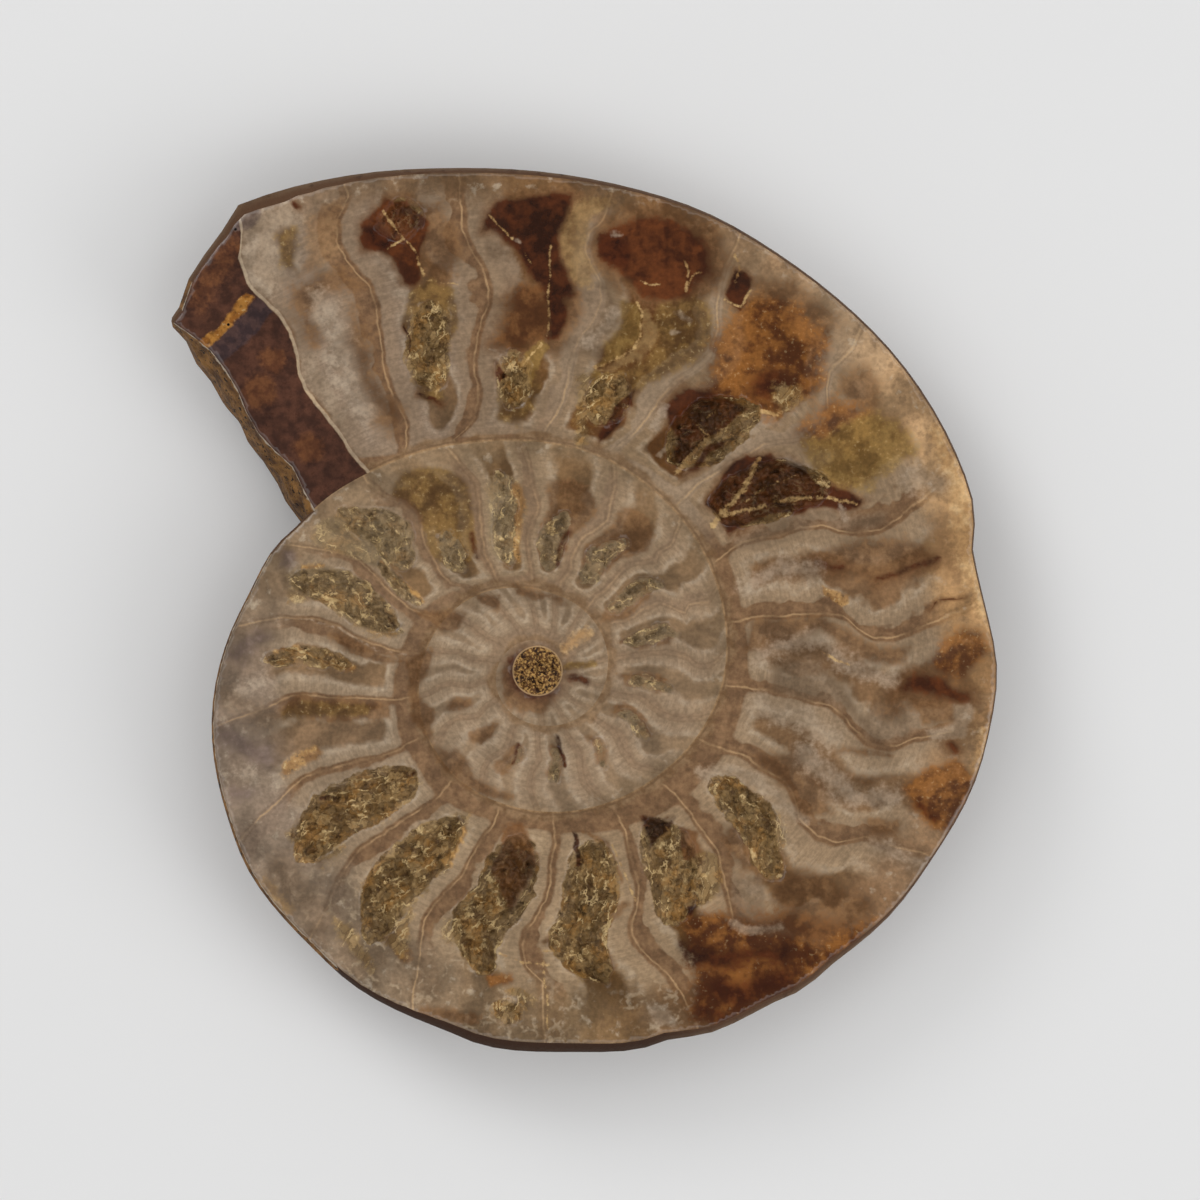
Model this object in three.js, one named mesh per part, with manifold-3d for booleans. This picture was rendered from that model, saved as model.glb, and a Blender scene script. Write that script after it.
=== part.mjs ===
// Half of an ammonite fossil, sawn through its coil and polished. It lies on the flank of its shell, cut face up.
// Units are millimetres, +Z is up. Angles are degrees along the coil and go on counting over its turns, so that
// angle T and angle T - 360 point the same way. The coil is laid out round its own centre and moved at the end, so
// that the origin is under the middle of the outline, on the surface that the fossil rests on.
import * as THREE from "three";
import { mergeVertices } from "three/addons/utils/BufferGeometryUtils.js";
import Module from "manifold-3d";

const wasm = await Module();
wasm.setup();

// Driving dimensions
const THICKNESS = 13;
const UMBILICUS = 0.22; // radius of the seam where a whorl covers the one before, as a share of its own radius
const EDGE_SHARE = 0.19; // half width of the outer edge, as a share of the flank's depth
const FLANK_PEAK = 0.24; // place of the thickest line, from the seam (0) to the outer edge (1)
const COIL_START = -600;
const COIL_END = 509.5;
const ABOVE_CUT = 1; // how far the coil is made past the cut before it is cut
const CORE_RADIUS = 3.2; // the first chamber and what fills it, at the middle of the coil
const CORE_DEPTH = 3.4;
const CORE_PIT_RADIUS = 2.5;
const CORE_PIT_DEPTH = 0.9;
const BED = 1.5; // how far a crystal's foot reaches under the middle depth of its hollow, as a share of that depth
const RIB_PITCH = 15;
const RIB_HEIGHT = 0.42;
const RIB_SWEEP = 16; // degrees that a rib leans forward from mid flank to the edge

// Outer wall of the coil: angle, radius
const WALL = [
  [-600, 3.3], [-560, 3.8], [-520, 4.4], [-480, 5.0], [-440, 5.6], [-400, 6.4], [-360, 7.0], [-330, 7.4],
  [-300, 7.7], [-280, 7.9], [-260, 8.4], [-240, 9.3], [-210, 10.6], [-180, 11.7], [-160, 12.4], [-140, 13.0],
  [-120, 13.5], [-100, 13.8], [-80, 14.3], [-60, 15.0], [-40, 16.0], [-20, 17.4], [0, 18.7], [20, 19.6],
  [40, 20.6], [60, 21.6], [75, 22.4], [90, 22.9], [105, 23.7], [120, 25.0], [130, 26.0], [140, 27.2],
  [149.5, 28.2], [155, 29.1], [165, 29.9], [175, 31.3], [185, 32.6], [193, 33.4], [205, 34.3], [215, 35.2],
  [230, 35.7], [240, 36.5], [255, 37.1], [262, 37.9], [275, 38.3], [285, 39.2], [290, 39.2], [295, 40.1],
  [305, 40.7], [310, 41.5], [315, 41.6], [325, 42.9], [335, 43.8], [345, 45.1], [352, 45.6], [360, 46.0],
  [368, 45.3], [372, 45.1], [376, 45.3], [380, 46.6], [387, 47.2], [400, 47.7], [412, 47.9], [420, 48.2],
  [430, 48.9], [440, 49.3], [450, 50.0], [460, 51.1], [470, 52.9], [480, 54.9], [483, 55.4], [485, 54.4],
  [490, 53.0], [492, 52.4], [494, 51.3], [497, 50.7], [510, 50.4],
];

// How far the polished face's edge lies inside the outline: angle, width
const RIM = [
  [-600, 0.1], [140, 0.2], [200, 0.3], [240, 0.5], [262, 0.95], [290, 0.8], [300, 0.6], [315, 0.6], [330, 0.25],
  [350, 0.15], [380, 0.2], [430, 0.3], [452, 0.5], [465, 0.6], [475, 0.9], [481, 1.3], [485, 0.9], [490, 0.6],
  [510, 0.5],
];

// Depth of the flank's thickest line under the cut face: angle, depth
const FLANK_DEPTH = [
  [-600, 1.1], [-400, 2.2], [-220, 3.8], [-40, 5.9], [140, 8.9], [220, 11.3], [275, 12.9], [290, 13], [510, 13],
];

// Walls between the chambers: the angle of each at these shares of the height from the inner to the outer wall
const SEPTUM_HEIGHTS = [0, 0.25, 0.5, 0.62, 0.75, 1];
const SEPTA = [
  [-172, -169, -169.5, -170.5, -171, -170],
  [-147, -143, -144, -147, -149, -148],
  [-115, -111.5, -112.5, -116, -118.5, -117],
  [-93, -89, -88.5, -92, -94.5, -92],
  [-67, -63.5, -62.7, -65.5, -67.5, -64],
  [-43, -38.5, -39, -42, -44.5, -40],
  [-19, -15, -14.7, -17.5, -19.5, -16],
  [3, 7.5, 8, 4, 1, 4],
  [24, 28.6, 27.6, 23.5, 21, 25],
  [44, 50, 48.8, 45.5, 46, 49],
  [69, 74.5, 71.5, 68.5, 67.2, 70],
  [88, 94.5, 92, 91, 91.5, 94],
  [105, 114.5, 112.3, 110.8, 110.3, 113],
  [124, 134.5, 130.8, 129.8, 130.4, 133],
  [152, 153.5, 149, 148.5, 151, 155],
  [170, 171, 167.3, 167, 168, 171],
  [192, 189.8, 186, 185.7, 187.6, 190],
  [211, 207.5, 204.6, 205, 207, 211],
  [234, 229, 225.3, 225.6, 228.5, 231],
  [255, 251, 246.8, 246, 248.2, 250],
  [278, 273.8, 267.5, 267.3, 270.8, 272],
  [301, 296.5, 290.4, 290.3, 293, 294],
  [321, 316.3, 310.4, 307.8, 312, 316],
  [341, 336.5, 330.2, 329.2, 332, 335],
  [358, 354.8, 349.3, 348, 351, 355],
  [376, 372.8, 368.5, 365.5, 366.5, 370],
  [394, 390.2, 385, 383.2, 385, 388],
  [412.5, 408.5, 402.2, 401.2, 405.4, 406],
  [435, 427, 422, 421.8, 424.4, 424.5],
  [452, 444.5, 440.8, 440.2, 443.4, 441],
  [472, 461.6, 457.9, 457, 459.5, 461],
  [486, 478, 474, 473.8, 475.4, 472],
  [492, 490, 487, 486.2, 487.2, 482],
];

// Hollows that the crystals left open. Each lies in the chamber after septum number `chamber`. `middle` and `half`
// are its middle and half width as shares of the chamber, and it runs from height `from` to height `to`.
const HOLLOWS = [
  { chamber: 2, middle: 0.42, half: 0.13, from: 0.28, to: 0.62, depth: 0.8 },
  { chamber: 3, middle: 0.45, half: 0.15, from: 0.24, to: 0.68, depth: 1.0 },
  { chamber: 4, middle: 0.53, half: 0.11, from: 0.3, to: 0.62, depth: 0.8 },
  { chamber: 5, middle: 0.5, half: 0.15, from: 0.22, to: 0.65, depth: 1.0 },
  { chamber: 6, middle: 0.4, half: 0.15, from: 0.18, to: 0.6, depth: 1.0 },
  { chamber: 7, middle: 0.42, half: 0.18, from: 0.14, to: 0.62, depth: 1.2 },
  { chamber: 8, middle: 0.47, half: 0.2, from: 0.12, to: 0.62, depth: 1.2 },
  { chamber: 9, middle: 0.5, half: 0.24, from: 0.14, to: 0.6, depth: 1.0 },
  { chamber: 10, middle: 0.55, half: 0.24, from: 0.13, to: 0.56, depth: 1.6 },
  { chamber: 11, middle: 0.55, half: 0.2, from: 0.16, to: 0.8, depth: 1.2 },
  { chamber: 12, middle: 0.62, half: 0.2, from: 0.16, to: 0.46, depth: 1.2 },
  { chamber: 13, middle: 0.45, half: 0.28, from: 0.36, to: 0.9, depth: 1.5 },
  { chamber: 13, middle: 0.83, half: 0.09, from: 0.14, to: 0.52, depth: 1.8 },
  { chamber: 14, middle: 0.48, half: 0.3, from: 0.2, to: 0.84, depth: 1.5 },
  { chamber: 15, middle: 0.47, half: 0.14, from: 0.34, to: 0.8, depth: 1.2 },
  { chamber: 17, middle: 0.52, half: 0.32, from: 0.12, to: 0.8, depth: 1.6 },
  { chamber: 18, middle: 0.5, half: 0.3, from: 0.14, to: 0.82, depth: 1.6 },
  { chamber: 19, middle: 0.52, half: 0.32, from: 0.1, to: 0.72, depth: 1.9 },
  { chamber: 19, middle: 0.72, half: 0.2, from: 0.78, to: 0.9, depth: 0.9 },
  { chamber: 20, middle: 0.5, half: 0.3, from: 0.12, to: 0.72, depth: 1.5 },
  { chamber: 21, middle: 0.45, half: 0.3, from: 0.12, to: 0.56, depth: 1.4 },
  { chamber: 22, middle: 0.52, half: 0.2, from: 0.14, to: 0.6, depth: 1.5 },
  { chamber: 26, middle: 0.52, half: 0.32, from: 0.1, to: 0.54, depth: 2.1 },
  { chamber: 27, middle: 0.42, half: 0.3, from: 0.12, to: 0.5, depth: 2.1 },
  { chamber: 28, middle: 0.5, half: 0.2, from: 0.1, to: 0.32, depth: 1.2 },
  { chamber: 29, middle: 0.6, half: 0.16, from: 0.12, to: 0.34, depth: 1.1 },
  { chamber: 30, middle: 0.52, half: 0.22, from: 0.2, to: 0.52, depth: 1.3 },
  { chamber: 30, middle: 0.5, half: 0.22, from: 0.74, to: 0.9, depth: 0.9 },
];

// The broken end of the body chamber, seen from above: its outer corner and inner corner, from the coil's centre
const BREAK_OUTER = new THREE.Vector2(-36.8, 34.9);
const BREAK_INNER = new THREE.Vector2(-24.0, 15.1);
const BREAK_COLUMNS = 16;
const BREAK_ROUGHNESS = 0.6;
const BREAK_REACH = 40;
// How far the polished face's edge stands back from that line, along it from the outer corner
const BREAK_STEP = [
  [0, 0.2], [0.18, 1.8], [0.29, 2.1], [0.41, 2.0], [0.53, 1.45], [0.63, 1.5], [0.76, 2.2], [0.86, 2.7], [0.94, 1.6],
  [1, 2.0],
];

// A smooth curve through points [position, value], as a function
function curveThrough(points) {
  const slope = (i) => {
    const before = points[Math.max(0, i - 1)];
    const after = points[Math.min(points.length - 1, i + 1)];
    return (after[1] - before[1]) / (after[0] - before[0]);
  };
  return (position) => {
    let i = 0;
    while (i < points.length - 2 && position > points[i + 1][0]) i += 1;
    const [x0, y0] = points[i];
    const [x1, y1] = points[i + 1];
    const span = x1 - x0;
    const t = THREE.MathUtils.clamp((position - x0) / span, 0, 1);
    const blend = t * t * (3 - 2 * t);
    const bow = span * t * (1 - t) * (slope(i) * (1 - t) - slope(i + 1) * t);
    return y0 + (y1 - y0) * blend + bow;
  };
}

const wall = curveThrough(WALL);
const rim = curveThrough(RIM);
const flankDepth = curveThrough(FLANK_DEPTH);
const breakStep = curveThrough(BREAK_STEP);
const septum = SEPTA.map((angles) => curveThrough(angles.map((angle, i) => [SEPTUM_HEIGHTS[i], angle])));

// A repeatable scatter between 0 and 1
function scatter(seed) {
  const value = Math.sin(seed * 127.1) * 43758.5453;
  return value - Math.floor(value);
}

function solidFrom(positions, triangles) {
  const mesh = new wasm.Mesh({ numProp: 3, vertProperties: positions, triVerts: triangles });
  return new wasm.Manifold(mesh);
}

function solidOf(geometry) {
  geometry.deleteAttribute("normal");
  geometry.deleteAttribute("uv");
  const merged = mergeVertices(geometry);
  return solidFrom(merged.attributes.position.array, new Uint32Array(merged.index.array));
}

// A solid through a row of closed rings of points. `outlines` are the first and the last ring, drawn flat.
function loft(rings, outlines) {
  const size = rings[0].length;
  const triangles = [];
  for (let i = 0; i < rings.length - 1; i += 1) {
    for (let k = 0; k < size; k += 1) {
      const a = i * size + k;
      const b = i * size + ((k + 1) % size);
      triangles.push([a, b, a + size], [b, b + size, a + size]);
    }
  }
  const last = (rings.length - 1) * size;
  triangles.push(...THREE.ShapeUtils.triangulateShape(outlines[0], []));
  for (const [a, b, c] of THREE.ShapeUtils.triangulateShape(outlines[1], [])) {
    triangles.push([last + a, last + c, last + b]);
  }
  return solidFrom(new Float32Array(rings.flat(2)), new Uint32Array(triangles.flat()));
}

// Depth of the flank under the cut face, at share s of the way from the umbilical seam to the outer edge
function flankShape(s) {
  if (s < FLANK_PEAK) return 0.62 + 0.38 * (1 - ((FLANK_PEAK - s) / FLANK_PEAK) ** 3) ** 0.7;
  return EDGE_SHARE + (1 - EDGE_SHARE) * (1 - ((s - FLANK_PEAK) / (1 - FLANK_PEAK)) ** 2) ** 0.8;
}

// Sickle-shaped ribs that rise over the outer flank
function ribHeight(angle, s) {
  const rise = THREE.MathUtils.smoothstep(s, 0.3, 0.7) * (1 - THREE.MathUtils.smoothstep(s, 0.93, 1));
  const lean = RIB_SWEEP * (Math.max(0, s - 0.45) ** 2 - 0.35 * Math.sin(Math.PI * s));
  return RIB_HEIGHT * rise * (0.5 + 0.5 * Math.cos((2 * Math.PI * (angle - lean)) / RIB_PITCH));
}

// One section of the whorl as [radius, z] points: up to above the cut, the rounded outer edge, the flank, the seam
function whorlSection(angle, shares) {
  const outer = wall(angle);
  const seam = UMBILICUS * outer;
  const depth = flankDepth(angle);
  const edge = EDGE_SHARE * depth;
  const widest = 0.4 * edge;
  const points = [
    [seam, THICKNESS + ABOVE_CUT],
    [outer - (rim(angle) * (widest + ABOVE_CUT)) / widest, THICKNESS + ABOVE_CUT],
    [outer, THICKNESS - widest],
    [outer - 0.04 * edge, THICKNESS - 0.75 * edge],
  ];
  for (const s of shares) {
    const z = THICKNESS - depth * flankShape(s) - (angle > 140 ? ribHeight(angle, s) : 0);
    points.push([seam + s * (outer - seam), Math.max(0, z)]);
  }
  return points;
}

// A stretch of whorl, from one angle to another
function whorlStretch(from, to, step, shares) {
  const count = Math.round((to - from) / step);
  const rings = [];
  for (let i = 0; i <= count; i += 1) {
    const angle = THREE.MathUtils.lerp(from, to, i / count);
    const radians = THREE.MathUtils.degToRad(angle);
    const direction = [Math.cos(radians), Math.sin(radians)];
    const section = whorlSection(angle, shares);
    rings.push(section.map(([radius, z]) => [radius * direction[0], radius * direction[1], z]));
  }
  const ends = [whorlSection(from, shares), whorlSection(to, shares)];
  return loft(rings, ends.map((section) => section.map(([radius, z]) => new THREE.Vector2(radius, z))));
}

// The whole coil, cut flat: coarse early turns, seen only in the umbilicus, and a fine last turn with a broken end
function coil() {
  const early = [0.9, 0.5, 0.24, 0.12, 0.05, 0];
  const late = [0.985, 0.94, 0.86, 0.76, 0.65, 0.54, 0.42, 0.3, 0.2, 0.12, 0.05, 0];
  const stretches = [
    whorlStretch(COIL_START, -400, 20, early),
    whorlStretch(-400, -220, 12, early),
    whorlStretch(-220, -40, 10, early),
    whorlStretch(-40, 140, 7.5, early),
    whorlStretch(140, 325, 3.25, late),
    whorlStretch(325, COIL_END, 3, late).subtract(brokenAway()),
  ];
  const core = new THREE.CylinderGeometry(CORE_RADIUS, CORE_RADIUS, CORE_DEPTH, 16).rotateX(Math.PI / 2);
  stretches.push(solidOf(core.translate(0, 0, THICKNESS + ABOVE_CUT - CORE_DEPTH / 2)));
  const below = solidOf(new THREE.BoxGeometry(200, 200, 20).translate(0, 0, THICKNESS - 10));
  return stretches.reduce((joined, next) => joined.add(next)).intersect(below);
}

// What broke away at the aperture: a block whose rough face steps back to the polished face's edge
function brokenAway() {
  const along = BREAK_INNER.clone().sub(BREAK_OUTER);
  const outward = new THREE.Vector2(along.y, -along.x).normalize();
  const levels = [
    [-1, 0],
    [THICKNESS / 2, 0.08],
    [THICKNESS - 3, 0.3],
    [THICKNESS - 1.2, 0.66],
    [THICKNESS, 1],
    [THICKNESS + ABOVE_CUT, 1],
  ];
  const rings = [];
  const outlines = [];
  for (let i = 0; i <= BREAK_COLUMNS; i += 1) {
    const share = THREE.MathUtils.lerp(-0.3, 1.3, i / BREAK_COLUMNS);
    const outline = levels.map(([z, stand], k) => {
      const rough = k > 0 && k < 4 ? BREAK_ROUGHNESS * (scatter(i * 7 + k) - 0.5) : 0;
      return new THREE.Vector2(-breakStep(share) * stand - rough, z);
    });
    outline.push(new THREE.Vector2(BREAK_REACH, THICKNESS + ABOVE_CUT), new THREE.Vector2(BREAK_REACH, -1));
    outlines.push(outline);
    rings.push(outline.map(({ x, y }) => {
      const point = BREAK_OUTER.clone().addScaledVector(along, share).addScaledVector(outward, x);
      return [point.x, point.y, y];
    }));
  }
  return loft(rings, [outlines[0], outlines[BREAK_COLUMNS]]);
}

// A point of the cut face, by chamber number plus share of the chamber, and by height in the whorl
function facePoint(chamber, share, height) {
  const angle = THREE.MathUtils.lerp(septum[chamber](height), septum[chamber + 1](height), share);
  const radius = THREE.MathUtils.lerp(wall(angle - 360), wall(angle), height);
  const radians = THREE.MathUtils.degToRad(angle);
  return [radius * Math.cos(radians), radius * Math.sin(radians)];
}

// A hollow: a lens-shaped opening whose sides slope in to an uneven floor
function hollow({ chamber, middle, half, from, to, depth }, number) {
  const rows = Math.max(3, Math.round((to - from) * 10));
  const rings = [];
  const outlines = [];
  for (let i = 0; i <= rows; i += 1) {
    const height = THREE.MathUtils.lerp(from, to, i / rows);
    const width = half * (0.12 + 0.88 * Math.sin(Math.PI * THREE.MathUtils.clamp(i / rows, 0.03, 0.97)) ** 0.55);
    const ragged = (side) => width * (0.82 + 0.36 * scatter(number * 31 + i * 5 + side));
    const floor = (side) => THICKNESS - depth * (0.75 + 0.5 * scatter(number * 13 + i * 3 + side));
    const left = ragged(1);
    const right = ragged(2);
    const inner = 0.55 + 0.2 * scatter(number * 17 + i);
    const corners = [
      [middle + right, THICKNESS + 0.5],
      [middle - left, THICKNESS + 0.5],
      [middle - left * inner, floor(2)],
      [middle + right * inner, floor(1)],
    ];
    rings.push(corners.map(([share, z]) => [...facePoint(chamber, share, height), z]));
    outlines.push(corners.map(([share, z]) => new THREE.Vector2(-share, z)));
  }
  return loft(rings, [outlines[0], outlines[rows]]);
}

// Calcite crystals that stand on a hollow's floor, as leaning six-sided points
function crystals({ chamber, middle, half, from, to, depth }, number) {
  const count = Math.max(2, Math.round((to - from) * 7));
  const made = [];
  for (let i = 0; i < count; i += 1) {
    const height = THREE.MathUtils.lerp(from, to, (i + 0.6) / (count + 0.2));
    const share = middle + half * 0.7 * (scatter(number * 11 + i) - 0.5);
    const [x, y] = facePoint(chamber, share, height);
    const foot = THICKNESS - depth * BED;
    const tall = depth * (0.9 + 0.45 * scatter(number * 5 + i));
    const point = new THREE.ConeGeometry(0.35 + 0.28 * depth * scatter(number * 3 + i), tall, 6);
    point.rotateX(Math.PI / 2 + 0.5 * (scatter(number + i * 9) - 0.5));
    point.rotateY(0.5 * (scatter(number * 2 + i * 4) - 0.5));
    made.push(solidOf(point.translate(x, y, foot + tall / 2)));
  }
  return made;
}

function ammoniteHalf() {
  const hollows = HOLLOWS.map(hollow);
  const corePit = new THREE.CylinderGeometry(CORE_PIT_RADIUS, CORE_PIT_RADIUS * 0.8, 2 * CORE_PIT_DEPTH, 14);
  hollows.push(solidOf(corePit.rotateX(Math.PI / 2).translate(0, 0, THICKNESS)));
  const below = new THREE.BoxGeometry(200, 200, THICKNESS).translate(0, 0, THICKNESS / 2 - 0.25);
  const points = HOLLOWS.flatMap(crystals).reduce((joined, next) => joined.add(next));
  return hollows
    .reduce((solid, cutter) => solid.subtract(cutter), coil())
    .add(points.intersect(solidOf(below)));
}

function geometryOf(solid) {
  const mesh = solid.getMesh();
  const geometry = new THREE.BufferGeometry();
  geometry.setAttribute("position", new THREE.BufferAttribute(mesh.vertProperties, 3));
  geometry.setIndex(new THREE.BufferAttribute(mesh.triVerts, 1));
  return geometry;
}

const geometry = geometryOf(ammoniteHalf());
geometry.computeVertexNormals();
geometry.computeBoundingBox();
const middle = geometry.boundingBox.getCenter(new THREE.Vector3());

const ammonite = new THREE.Mesh(
  geometry,
  new THREE.MeshStandardMaterial({ color: "#8f7358", roughness: 0.35, metalness: 0 }),
);
ammonite.name = "ammonite_half";
ammonite.position.set(-middle.x, -middle.y, 0);

const fossil = new THREE.Group();
fossil.add(ammonite);

export default fossil;
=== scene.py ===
"""Looks of a sawn and polished ammonite half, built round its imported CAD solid.

Sizes are in millimetres and angles in degrees, and become metres where a mesh point is made. Angles run
along the coil and go on counting over its turns, so that angle T and angle T - 360 point the same way. Radii
are measured from the middle of the coil.
"""
import math

import bmesh
import bpy
import numpy as np
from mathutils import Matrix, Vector
from mathutils.geometry import delaunay_2d_cdt
from mathutils.kdtree import KDTree

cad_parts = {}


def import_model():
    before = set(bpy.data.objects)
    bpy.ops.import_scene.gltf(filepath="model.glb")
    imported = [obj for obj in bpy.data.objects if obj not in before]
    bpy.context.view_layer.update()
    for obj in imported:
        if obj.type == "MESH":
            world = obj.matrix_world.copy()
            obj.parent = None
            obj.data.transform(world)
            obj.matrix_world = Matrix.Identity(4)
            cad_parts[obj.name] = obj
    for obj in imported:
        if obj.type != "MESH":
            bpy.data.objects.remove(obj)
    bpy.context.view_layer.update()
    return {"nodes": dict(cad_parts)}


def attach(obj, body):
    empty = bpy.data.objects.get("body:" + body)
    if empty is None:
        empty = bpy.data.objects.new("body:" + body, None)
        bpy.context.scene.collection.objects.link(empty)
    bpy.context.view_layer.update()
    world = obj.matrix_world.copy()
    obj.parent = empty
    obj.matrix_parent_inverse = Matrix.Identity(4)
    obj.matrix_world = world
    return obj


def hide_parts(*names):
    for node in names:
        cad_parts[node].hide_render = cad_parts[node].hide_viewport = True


MM = 0.001
THICKNESS = 13.0
COIL = np.array([-4.642, -6.086])  # middle of the coil in the part's frame
FIRST_ANGLE = -640
LAST_ANGLE = 511
BREAK_ANGLE = 149.5  # direction in which the last turn ends and the turn before it comes out
UMBILICUS = 0.22
EDGE_SHARE = 0.19
FLANK_PEAK = 0.24
RIB_PITCH = 15.0
RIB_HEIGHT = 0.42
RIB_SWEEP = 16.0
SEAM_SHARE = 0.62  # depth of the flank at its sunk middle, as a share of its thickest line's
RIM_SHARE = 0.45  # where the ribs begin to bend, as a share of the flank's width
FLANK_REACH = (0.02, 0.93)  # the part of the flank whose points go on the true curve
FLANK_MISS = 0.3  # farther than this from the curve, a point belongs to a chip or the break
SIDE_EDGES = (1.9, 1.1)  # longest edges of the side and back in two rounds of splitting
RIM_EDGE = 0.5
BREAK_OUTER = np.array([-36.8, 34.9])
BREAK_INNER = np.array([-24.0, 15.1])

# Outer wall of the coil: angle, radius
WALL = [
    (-640, 3.0), (-600, 3.3), (-560, 3.8), (-520, 4.4), (-480, 5.0), (-440, 5.6), (-400, 6.4), (-360, 7.0),
    (-330, 7.4), (-300, 7.7), (-280, 7.9), (-260, 8.4), (-240, 9.3), (-210, 10.6), (-180, 11.7),
    (-160, 12.4), (-140, 13.0), (-120, 13.5), (-100, 13.8), (-80, 14.3), (-60, 15.0), (-40, 16.0),
    (-20, 17.4), (0, 18.7), (20, 19.6), (40, 20.6), (60, 21.6), (75, 22.4), (90, 22.9), (105, 23.7),
    (120, 25.0), (130, 26.0), (140, 27.2), (149.5, 28.2), (155, 29.1), (165, 29.9), (175, 31.3),
    (185, 32.6), (193, 33.4), (205, 34.3), (215, 35.2), (230, 35.7), (240, 36.5), (255, 37.1), (262, 37.9),
    (275, 38.3), (285, 39.2), (290, 39.2), (295, 40.1), (305, 40.7), (310, 41.5), (315, 41.6), (325, 42.9),
    (335, 43.8), (345, 45.1), (352, 45.6), (360, 46.0), (368, 45.3), (372, 45.1), (376, 45.3), (380, 46.6),
    (387, 47.2), (400, 47.7), (412, 47.9), (420, 48.2), (430, 48.9), (440, 49.3), (450, 50.0), (460, 51.1),
    (470, 52.9), (480, 54.9), (483, 55.4), (485, 54.4), (490, 53.0), (492, 52.4), (494, 51.3), (497, 50.7),
    (510, 50.4),
]
# Depth of the flank's thickest line under the cut face: angle, depth
FLANK_DEPTH = [
    (-600, 1.1), (-400, 2.2), (-220, 3.8), (-40, 5.9), (140, 8.9), (220, 11.3), (275, 12.9), (290, 13),
    (510, 13),
]
# Inner ends of the chambers: angle, radius
BOTTOM = [
    (-640, 2.9), (-400, 3.6), (-300, 4.2), (-200, 4.9), (-100, 5.4), (-40, 6.2), (0, 7.6), (40, 8.4),
    (90, 9.3), (130, 10.8), (150, 12.8), (170, 13.7), (190, 14.5), (220, 15.5), (240, 15.8), (260, 15.5),
    (280, 16.5), (300, 18.0), (320, 19.5), (340, 20.5), (360, 21.0), (380, 21.5), (400, 22.5), (420, 23.0),
    (440, 23.2), (460, 24.0), (480, 25.2), (491, 27.6), (510, 28.5),
]
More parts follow.
